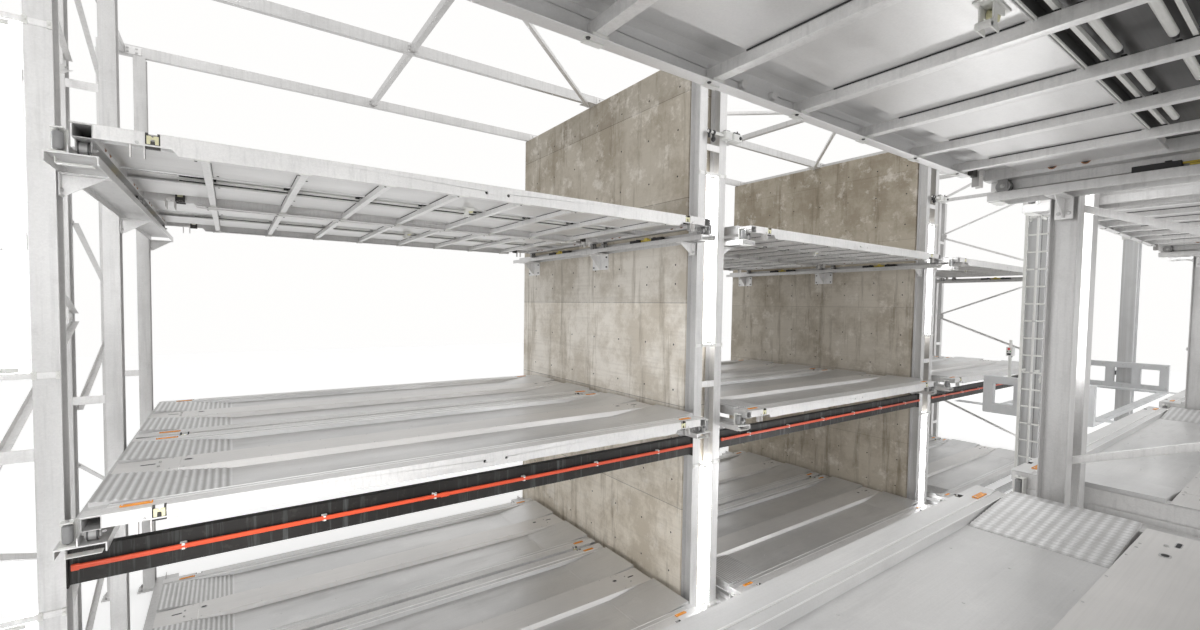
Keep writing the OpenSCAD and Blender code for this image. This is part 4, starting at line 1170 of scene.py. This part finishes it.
def lift_hole_cups():
    """Short closed cups behind the lifting holes of the side beams."""
    cups, bottoms = Solids(), Solids()
    for centre, ey in product(pallets(ALL_ROWS), SIDES):
        inner = centre.y + ey * (PALLET_W / 2 - 0.006)
        for dx in (-0.105, 0.105):
            at = (centre.x + dx, inner, centre.z - 0.07)
            cups.add(ring(0.0142, 0.02, 0, 0.02, 24), facing(at, (0, -ey, 0)))
            cups.turned(((0.02, 0.0205), (0.018, 0.023)), 24, at, (0, -ey, 0))
            # the dark disc is painted shade at the bottom of the cup
            bottoms.turned(((0.0141, 0.016), (0.0141, 0.02)), 20, at, (0, -ey, 0))
    make_piece("lift_hole_cups", cups, "beam", slot="galvanised_steel")
    make_piece("lift_hole_bottoms", bottoms, "hole")


def ramp_skirts():
    """Thin side sheets that close the ramps towards the side beam and the middle cover."""
    skirts = Solids()
    t = 0.0025
    outer = ((0.0105, -0.006), (0.0105, 0.022), (0.275, -0.0058), (0.27, -0.006))
    inner = ((0.0105, -0.006), (0.0105, 0.022), (0.742, -0.0545), (0.105, -0.055), (0.105, -0.006))
    for centre, ex, ey, (points, y) in product(
            pallets(ALL_ROWS), SIDES, SIDES, ((outer, 0.8785), (inner, 0.2115))):
        placed = [(ex * (PALLET_L / 2 - d), h) for d, h in points]
        if ex > 0:
            placed = placed[::-1]
        skirts.add(flat_plate(tuple(placed), t), Matrix.Translation(
            (centre.x, centre.y + ey * y - t / 2, centre.z)) @ ALONG_X_DEEP)
    make_piece("ramp_skirts", skirts, "deck_steel")


# ---- beams, conductor, sensors and roof


CONDUCTOR_Z = 2.25
BEAM_FACE = 1.735
SENSOR_Z, ARM_OUT, ARM_UP = 6.15, 0.045, 0.045


def conductor_details():
    """Clip arms over the red rail, its ribs, end caps and joint sleeves."""
    arms, ribs, caps = Solids(), Solids(), Solids()
    back, front = across(BEAM_FACE - 0.022), across(BEAM_FACE - 0.04)
    for bay in BAY_X:
        for i in range(6):
            x = bay + (i - 2.5) * 0.9
            for z, up in ((CONDUCTOR_Z + 0.017, 1), (CONDUCTOR_Z - 0.017, -1)):
                arms.box(x - 0.009, front - 0.004, z, x + 0.009, back, z + up * 0.005)
                arms.box(x - 0.009, front - 0.004, z, x + 0.009, front, z - up * 0.009)
            arms.bolt((x + 0.014, back - 0.0005, CONDUCTOR_Z + 0.021), (0, -1, 0), 0.005)
        half = BAY_PITCH / 2 - PAIR_FACE - 0.03
        for dz in (-0.0095, 0.0095):
            ribs.box(bay - half + 0.03, front - 0.0015, CONDUCTOR_Z + dz - 0.0022,
                     bay + half - 0.03, front, CONDUCTOR_Z + dz + 0.0022)
        for side in SIDES:
            caps.box(bay + side * (half + 0.004), front - 0.003, CONDUCTOR_Z - 0.02,
                     bay + side * (half - 0.035), back, CONDUCTOR_Z + 0.02)
        caps.box(bay - 0.4, front - 0.003, CONDUCTOR_Z - 0.0195,
                 bay - 0.32, back, CONDUCTOR_Z + 0.0195)
    make_piece("conductor_arms", arms, "white_clip")
    make_piece("conductor_ribs", ribs, "red_rail")
    make_piece("conductor_caps", caps, "red_rail", edge=0.002)


def front_beam_bolts():
    """Bolts of the front beams' end plates."""
    bolts = Solids()
    for bay, side in product(BAY_X, SIDES):
        x = bay + side * (BAY_PITCH / 2 - PAIR_FACE - 0.01)
        for y, z in product((BEAM_FACE + 0.035, BEAM_FACE + 0.105), (2.175, 2.31)):
            bolts.bolt((x, across(y), z), (-side, 0, 0), 0.016)
    make_piece("front_beam_bolts", bolts, "bolt")


def sensor_details():
    """Clamps on the sensors' arms, lids, lenses and black caps."""
    clamps, lids, glass = Solids(), Solids(), Solids()
    face = across(POST_FRONT - POST_HALF)
    z = SENSOR_Z
    for joint in JOINT_X[1:-1]:
        sensor_head(clamps, lids, glass, joint, face, z)
    for joint in JOINT_X[1:-1]:
        arm_y, arm_z = face - ARM_OUT, z + ARM_UP
        for x in (joint - 0.13, joint - 0.05):
            clamps.add(ring(0.0175, 0.028, -0.014, 0.014, 20), facing((x, arm_y, arm_z), (1, 0, 0)))
            clamps.pad(x, arm_y, 0.012, 0.012, arm_z - 0.075, arm_z - 0.02)
        ball = ((0.012, -0.03), (0.028, -0.014), (0.03, 0), (0.026, 0.02), (0.012, 0.03))
        clamps.add(lathe(ball, 20), moved(joint - 0.05, arm_y, arm_z - 0.085))
        x0 = joint + 0.13
        lids.box(x0 - 0.004, face - 0.096, z + 0.068, x0 + 0.124, face - 0.0005, z + 0.094)
        lids.box(x0 + 0.012, face - 0.096, z + 0.012, x0 + 0.062, face - 0.088, z + 0.06)
        clamps.box(x0 + 0.02, face - 0.07, z + 0.094, x0 + 0.1, face - 0.02, z + 0.112)
        lids.rod((x0 + 0.06, face - 0.045, z - 0.04), (x0 + 0.06, face - 0.045, z + 0.002), 0.012, 14)
    make_piece("sensor_clamps", clamps, "black", edge=0.001)
    make_piece("sensor_lids", lids, "box_white", edge=0.0015)
    make_piece("sensor_lenses", glass, "black")


def sensor_head(clamps, lids, glass, joint, face, z):
    """The sensor's head, which hangs out beside the post on the end of the arm."""
    arm_y, arm_z = face - ARM_OUT, z + ARM_UP
    lids.rod((joint + 0.18, arm_y, arm_z), (joint + 0.3, arm_y, arm_z), 0.017, 18)
    x0, x1 = joint + 0.27, joint + 0.43
    lids.box(x0, face - 0.1, z - 0.005, x1, face + 0.01, z + 0.085)
    lids.box(x0 + 0.012, face - 0.106, z + 0.01, x0 + 0.09, face - 0.1, z + 0.07)
    clamps.box(x0 + 0.02, face - 0.09, z + 0.085, x1 - 0.03, face - 0.01, z + 0.105)
    clamps.box(x1, face - 0.08, z + 0.02, x1 + 0.03, face - 0.02, z + 0.06)
    clamps.rod((x1 - 0.04, face - 0.05, z + 0.105), (x1 - 0.04, face - 0.05, z + 0.14), 0.008, 12)
    glass.turned(
        ((0.022, 0), (0.022, 0.008), (0.014, 0.014)), 24, (x1 - 0.035, face - 0.1, z + 0.04),
        (0, -1, 0))


def roof_fastenings():
    """Splice plates, bolts and gussets of the roof channels and their bracing."""
    plates, bolts = Solids(), Solids()
    lines = (POST_FRONT, POST_MIDDLE, POST_REAR, -POST_FRONT, -POST_MIDDLE)
    for line in lines:
        web = across(line) - 0.03
        for joint in JOINT_X:
            plates.box(joint - 0.2, web - 0.008, POST_TOP + 0.02, joint + 0.2, web, POST_TOP + 0.12)
            for dx, dz in product((-0.15, -0.06, 0.06, 0.15), (0.045, 0.095)):
                bolts.bolt((joint + dx, web - 0.008, POST_TOP + dz), (0, -1, 0), 0.014)
        for bay, dx, dz in product(BAY_X, (-0.05, 0.05), (0.05, 0.095)):
            bolts.bolt((bay + dx, web, POST_TOP + dz), (0, -1, 0), 0.012)
    run_x = BAY_PITCH / 2 - PAIR_FACE - 0.16
    for bay in BAY_X:
        plates.box(bay - 0.13, across(POST_FRONT) - 0.09, POST_TOP - 0.008,
                   bay + 0.13, across(POST_FRONT) + 0.12, POST_TOP)
        for side in SIDES:
            x = bay + side * (0.06 + run_x)
            plates.box(x - 0.11, across(POST_MIDDLE) - 0.11, POST_TOP - 0.008,
                       x + 0.11, across(POST_MIDDLE) + 0.09, POST_TOP)
            bolts.bolt((bay + side * 0.09, across(POST_FRONT) + 0.03, POST_TOP - 0.05), DOWN, 0.014)
            bolts.bolt((x - side * 0.02, across(POST_MIDDLE) - 0.03, POST_TOP - 0.05), DOWN, 0.014)
    make_piece("roof_plates", plates, "light_steel", edge=0.0015)
    make_piece("roof_bolts", bolts, "bolt")


# ---- the crane


CRANE_X = BAY_X[-1]
MAST_IN, MAST_OUT = 3.14, 3.44
BASE_TOP, MAST_TOP = 0.34, 5.75
WHEEL_Z, RUNG_PITCH = 0.2, 0.28
STRAND_PITCH, STRAND_TILT, STRAND_TWIST = 0.022, 24, 40
MAST_HALF = 0.13
ROPE_OUT, ROPE_SIDE = 0.06, 0.09
FRAME_FACE = MAST_IN - 0.01 - 0.12
FRAME_FOOT, FRAME_TOP = 2.18, 2.84


def mast_details():
    """Edge strips that make the masts' sides channels, foot plates with gussets, and bolts."""
    strips, plates, bolts = Solids(), Solids(), Solids()
    for end in SIDES:
        inner, outer = CRANE_X + end * MAST_IN, CRANE_X + end * MAST_OUT
        for side in SIDES:
            y = AISLE_Y + side * MAST_HALF
            for at in (0.105, 0.19, 0.288):
                strips.box(inner + end * at, y, BASE_TOP + 0.02, inner + end * (at + 0.012),
                           y + side * 0.012, MAST_TOP - 0.01)
            strips.box(inner + end * 0.2, y, BASE_TOP + 0.02, inner + end * 0.288,
                       y + side * 0.003, MAST_TOP - 0.01)
            for z in (1.15, 1.19, 3.2, 3.24):
                bolts.bolt((inner + end * 0.245, y + side * 0.003, z), (0, side, 0), 0.012)
        x0, x1 = sorted((inner + end * 0.1, outer + end * 0.08))
        plates.box(x0, AISLE_Y - 0.2, BASE_TOP, x1, AISLE_Y + 0.2, BASE_TOP + 0.018)
        for dx, side in product((0.15, 0.22, 0.34), SIDES):
            bolts.bolt((inner + end * dx, AISLE_Y + side * 0.17, BASE_TOP + 0.018), UP, 0.02)
        for side in SIDES:
            points = ((0, 0), (0.06, 0), (0, 0.22))
            if side < 0:
                points = ((0, 0), (0, 0.22), (-0.06, 0))
            for at in (0.12, 0.28):
                plates.upright(
                    points, (inner + end * at, AISLE_Y + side * 0.142, BASE_TOP + 0.018), ALONG_Y,
                    -0.005, 0.005)
    make_piece("mast_strips", strips, "crane_grey", "crane", 0.002)
    make_piece("mast_plates", plates, "crane_grey", "crane", 0.002)
    make_piece("mast_bolts", bolts, "bolt", "crane")


def ladder_details():
    """The fall arrester's tube in the middle of the ladder with its clamps, and bracket bolts."""
    tube, clamps = Solids(), Solids()
    x, y = CRANE_X - MAST_OUT - 0.195, AISLE_Y - 0.08
    tube.rod((x - 0.028, y, BASE_TOP + 0.01), (x - 0.028, y, MAST_TOP - 0.08), 0.016, 18)
    z = BASE_TOP + 0.15
    count = 0
    while z < MAST_TOP - 0.14:
        for side in SIDES:
            clamps.add(ring(0.0115, 0.017, -0.005, 0.005, 16),
                       facing((x, y + side * 0.128, z), (0, 1, 0)))
        if count % 3 == 0:
            clamps.box(x - 0.046, y - 0.022, z - 0.012, x + 0.012, y + 0.022, z + 0.012)
            clamps.bolt((x - 0.046, y, z), (-1, 0, 0), 0.008)
        z += RUNG_PITCH
        count += 1
    make_piece("ladder_tube", tube, "box_white", "crane", slot="light_steel")
    make_piece("ladder_clamps", clamps, "bolt", "crane", 0.001)


def head_details():
    """Rope sheaves beside the masts' heads with cheeks, lids and bolts."""
    sheaves, cheeks, bolts = Solids(), Solids(), Solids()
    groove = ((0.052, -0.012), (0.056, -0.01), (0.046, -0.003), (0.046, 0.003), (0.056, 0.01),
              (0.052, 0.012))
    for end in SIDES:
        x = CRANE_X + end * (MAST_OUT + ROPE_OUT)
        for side in SIDES:
            y = AISLE_Y + side * ROPE_SIDE
            centre = Vector((x - end * 0.05, y, MAST_TOP - 0.075))
            sheaves.turned(groove, 32, centre, (0, 1, 0))
            for cheek in SIDES:
                cheeks.box(centre.x - 0.03, y + cheek * 0.015, MAST_TOP - 0.1,
                           centre.x + 0.03, y + cheek * 0.021, MAST_TOP)
                bolts.bolt((centre.x, y + cheek * 0.021, centre.z), (0, cheek, 0), 0.012)
        lid_x0, lid_x1 = sorted(
            (CRANE_X + end * (MAST_IN - 0.045), CRANE_X + end * (MAST_OUT + 0.165)))
        cheeks.box(lid_x0, AISLE_Y - 0.156, MAST_TOP + 0.058,
                   lid_x1, AISLE_Y + 0.156, MAST_TOP + 0.074)
        for dx, side in product((0.04, 0.22, 0.4), SIDES):
            bolts.bolt((lid_x0 + dx, AISLE_Y + side * 0.13, MAST_TOP + 0.074), UP, 0.008)
    make_piece("head_sheaves", sheaves, "dark_steel", "crane")
    make_piece("head_lids", cheeks, "box_white", "crane", 0.002)
    make_piece("head_bolts", bolts, "bolt", "crane")


def rope_ends():
    """Sockets and springs at the ropes' feet, and the lay of the ropes as raised strands."""
    sockets, strands = Solids(), Solids()
    for end in SIDES:
        x = CRANE_X + end * (MAST_OUT + ROPE_OUT)
        for side in SIDES:
            y = AISLE_Y + side * ROPE_SIDE
            sockets.add(lathe((
                (0.022, 0), (0.022, 0.03), (0.014, 0.05), (0.018, 0.055), (0.018, 0.12),
                (0.012, 0.16), (0.009, 0.2)), 18), moved(x, y, BASE_TOP))
            for i in range(5):
                sockets.add(ring(0.012, 0.024, 0.052 + i * 0.014, 0.058 + i * 0.014, 18),
                            moved(x, y, BASE_TOP))
            z = BASE_TOP + 0.21
            while z < MAST_TOP - 0.16:
                tilt = Matrix.Rotation(math.radians(STRAND_TILT), 4, "X")
                place = moved(x, y, z, z * STRAND_TWIST) @ tilt
                strands.add(ring(0.0076, 0.0088, -0.003, 0.003, 8), place)
                z += STRAND_PITCH
    make_piece("rope_sockets", sockets, "dark_steel", "crane")
    make_piece("rope_strands", strands, "rope", "crane")


def base_details():
    """Drives, buffers, covers and bolts of the crane's wheeled frames, and a small grey cabinet."""
    drives, dark, bolts, cabinet = Solids(), Solids(), Solids(), Solids()
    for end in SIDES:
        outer = CRANE_X + end * (MAST_IN + 0.7)
        for side in SIDES:
            y = AISLE_Y + side * 1.0
            buffer = ((0.04, 0), (0.04, 0.012), (0.03, 0.014), (0.034, 0.05), (0.02, 0.058))
            dark.turned(buffer, 24, (outer, y, WHEEL_Z), (end, 0, 0))
            for at in (0.16, 0.54):
                x = CRANE_X + end * (MAST_IN + at)
                face = AISLE_Y + side * 1.3
                drives.turned(
                    ((0.075, 0), (0.075, 0.006), (0.045, 0.014)), 28, (x, face, WHEEL_Z),
                    (0, side, 0))
                for i in range(6):
                    dx, dz = 0.06 * math.cos(math.pi / 3 * i), 0.06 * math.sin(math.pi / 3 * i)
                    bolts.bolt((x + dx, face + side * 0.006, WHEEL_Z + dz), (0, side, 0), 0.008)
    drive_x, drive_y = CRANE_X - MAST_IN - 0.52, AISLE_Y + 0.72
    drives.pad(drive_x, drive_y, 0.1, 0.12, BASE_TOP, BASE_TOP + 0.16)
    axle_z = BASE_TOP + 0.09
    drives.rod((drive_x, drive_y + 0.12, axle_z), (drive_x, drive_y + 0.4, axle_z), 0.07, 28)
    for i in range(9):
        y = drive_y + 0.15 + i * 0.026
        drives.add(ring(0.069, 0.08, 0, 0.006, 28), facing((drive_x, y, axle_z), (0, 1, 0)))
    for dx, dy in product((-0.08, 0.08), (-0.1, 0.1)):
        bolts.bolt((drive_x + dx, drive_y + dy, BASE_TOP + 0.16), UP, 0.01)
    cx, cy = CRANE_X - MAST_OUT - 0.12, AISLE_Y - 0.62
    cabinet.pad(cx, cy, 0.12, 0.2, BASE_TOP, BASE_TOP + 0.42)
    cabinet.box(cx - 0.128, cy - 0.19, BASE_TOP + 0.015, cx - 0.12, cy + 0.19, BASE_TOP + 0.405)
    handle_x, handle_y = cx - 0.134, cy + 0.15
    dark.rod((handle_x, handle_y, BASE_TOP + 0.2), (handle_x, handle_y, BASE_TOP + 0.27), 0.008, 12)
    make_piece("crane_drives", drives, "crane_grey", "crane", 0.002)
    make_piece("crane_buffers", dark, "black", "crane")
    make_piece("crane_base_bolts", bolts, "bolt", "crane")
    make_piece("crane_cabinet", cabinet, "box_white", "crane", 0.004)


def carriage_details():
    """Stiffening rims round the windows, bolts and guide plates of the carriage."""
    rims, bolts, pads = Solids(), Solids(), Solids()
    z0, z1 = FRAME_FOOT, FRAME_TOP
    for end in SIDES:
        face = CRANE_X + end * FRAME_FACE
        for i in (-1, 0, 1):
            y = AISLE_Y + i * 0.45
            low, high = z0 + 0.17, z1 - 0.13
            for a, b, c, d in (
                (y - 0.165, low - 0.015, y + 0.165, low), (y - 0.165, high, y + 0.165, high + 0.015),
                (y - 0.165, low, y - 0.15, high), (y + 0.15, low, y + 0.165, high),
            ):
                rims.box(face - end * 0.008, a, b, face, c, d)
        for y, z in product((-0.7, -0.35, 0.0, 0.35, 0.7), (z0 + 0.05, z0 + 0.12, z1 - 0.06)):
            bolts.bolt((face, AISLE_Y + y, z), (-end, 0, 0), 0.012)
        outer = CRANE_X + end * (MAST_IN + 0.08)
        for side, drop in product(SIDES, (0.325, 0.14)):
            y = AISLE_Y + side * (MAST_HALF + 0.006 + 0.07)
            z = z1 - drop
            pads.box(CRANE_X + end * MAST_IN, y, z + 0.01, outer, y + side * 0.008, z + 0.09)
            bolts.bolt((CRANE_X + end * (MAST_IN + 0.04), y + side * 0.008, z + 0.05),
                       (0, side, 0), 0.014)
    make_piece("window_rims", rims, "carriage_paint", "carriage", 0.001)
    make_piece("carriage_bolts", bolts, "bolt", "carriage")
    make_piece("guide_pads", pads, "black", "carriage", 0.001)


def control_details():
    """The control box's door, blank label, buttons, gland and the post's foot plate."""
    box, buttons, stop, dark = Solids(), Solids(), Solids(), Solids()
    x, y, z = CRANE_X - FRAME_FACE - 0.06, AISLE_Y + 0.385, FRAME_TOP
    low, high = z + 0.38, z + 0.54
    box.box(x - 0.066, y - 0.04, low + 0.006, x - 0.06, y + 0.04, high - 0.006)
    box.add(lathe(((0.026, 0), (0.045, 0.001), (0.045, 0.01), (0.026, 0.012)), 24), moved(x, y, z))
    stop.turned(
        ((0.012, 0), (0.012, 0.012), (0.018, 0.014), (0.018, 0.02), (0.012, 0.024)), 20,
        (x - 0.066, y, high - 0.035), (-1, 0, 0))
    for i, target in enumerate((buttons, dark)):
        target.turned(
            ((0.009, 0), (0.009, 0.006), (0.006, 0.008)), 16,
            (x - 0.066, y - 0.018 + i * 0.036, high - 0.08), (-1, 0, 0))
    dark.box(x - 0.0675, y - 0.028, low + 0.016, x - 0.066, y + 0.028, low + 0.05)
    dark.turned(((0.012, 0), (0.012, 0.014), (0.007, 0.03)), 16, (x, y - 0.02, low), DOWN)
    make_piece("control_door", box, "box_white", "carriage", 0.001)
    make_piece("stop_button", stop, "red_button", "carriage")
    make_piece("start_button", buttons, "green_button", "carriage")
    make_piece("control_fittings", dark, "black", "carriage")


# ---- stage and light


def make_stage():
    """A plain pale floor."""
    half = FLOOR_HALF
    mesh = bpy.data.meshes.new("floor")
    mesh.from_pydata(
        [(-half, -half, 0), (half, -half, 0), (half, half, 0), (-half, half, 0)], [], [(0, 1, 2, 3)])
    floor = bpy.data.objects.new("floor", mesh)
    bpy.context.scene.collection.objects.link(floor)
    s = Shader("pale floor")
    mesh.materials.append(s.finish(
        Base_Color=grey(0.86), Roughness=0.8, Emission_Color=(1, 1, 1, 1),
        Emission_Strength=s.to_range(s.seen_directly(), 0, FLOOR_GLOW)))


def area_light(name, at, towards, size, watts, spread=180):
    """A soft rectangular light that the camera itself doesn't see."""
    data = bpy.data.lights.new(name, "AREA")
    data.shape = "RECTANGLE"
    data.size, data.size_y = size
    data.energy = watts
    data.spread = math.radians(spread)
    lamp = bpy.data.objects.new(name, data)
    lamp.location = at
    lamp.rotation_mode = "QUATERNION"
    lamp.rotation_quaternion = (Vector(towards) - Vector(at)).to_track_quat("-Z", "Y")
    lamp.visible_camera = False
    bpy.context.scene.collection.objects.link(lamp)


def make_light():
    """Even white light from all sides, soft lamps round and over the rack, two in the aisle."""
    world = bpy.data.worlds.new("studio")
    bpy.context.scene.world = world
    w = Nodes(world, "Background")
    w.put((1, 0.995, 0.985, 1), w.surface.inputs["Color"])
    w.put(w.to_range(w.seen_directly(), WORLD_LIGHT, 1.0), w.surface.inputs["Strength"])
    area_light("key", (-22, -38, 21), (0, 0, 2.5), (26, 26), 2500)
    area_light("fill", (26, -34, 18), (0, 0, 2.5), (26, 26), 2500)
    area_light("side", (-28, 3, 5), (0, 2, 3.5), (6, 6), 260)
    area_light("top", (0, 0, 22), (0, 0, 0), (20, 14), 800)
    area_light("aisle", (-9.4, -1.1, 2.7), (-3.4, 2.5, 2.6), (0.8, 3.0), 30, 84)
    area_light("low", (1.0, -1.5, 0.5), (-3.0, -3.5, 4.9), (1.6, 1.2), 72)


make_camera()
LOOK = make_materials()
dress_nodes(LOOK)
for dress in (post_fastenings, lamp_details, brace_fastenings, wall_details, rail_supports,
              rail_fittings):
    dress()
for these_rows, row_name in ((ROWS_A, "_a"), (ROWS_B, "_b")):
    for dress in (cross_member_ends, deck_screws, cover_details, recess_details, flange_painted_lines):
        dress(these_rows, row_name)
for dress in (end_beam_holes, latch_details, roller_details, hanging_brackets, lift_hole_cups,
              end_plates, ramp_skirts, conductor_details, front_beam_bolts, sensor_details,
              roof_fastenings, mast_details, ladder_details, head_details, rope_ends,
              base_details, carriage_details, control_details):
    dress()
make_stage()
make_light()
bpy.context.scene.view_settings.view_transform = "Standard"
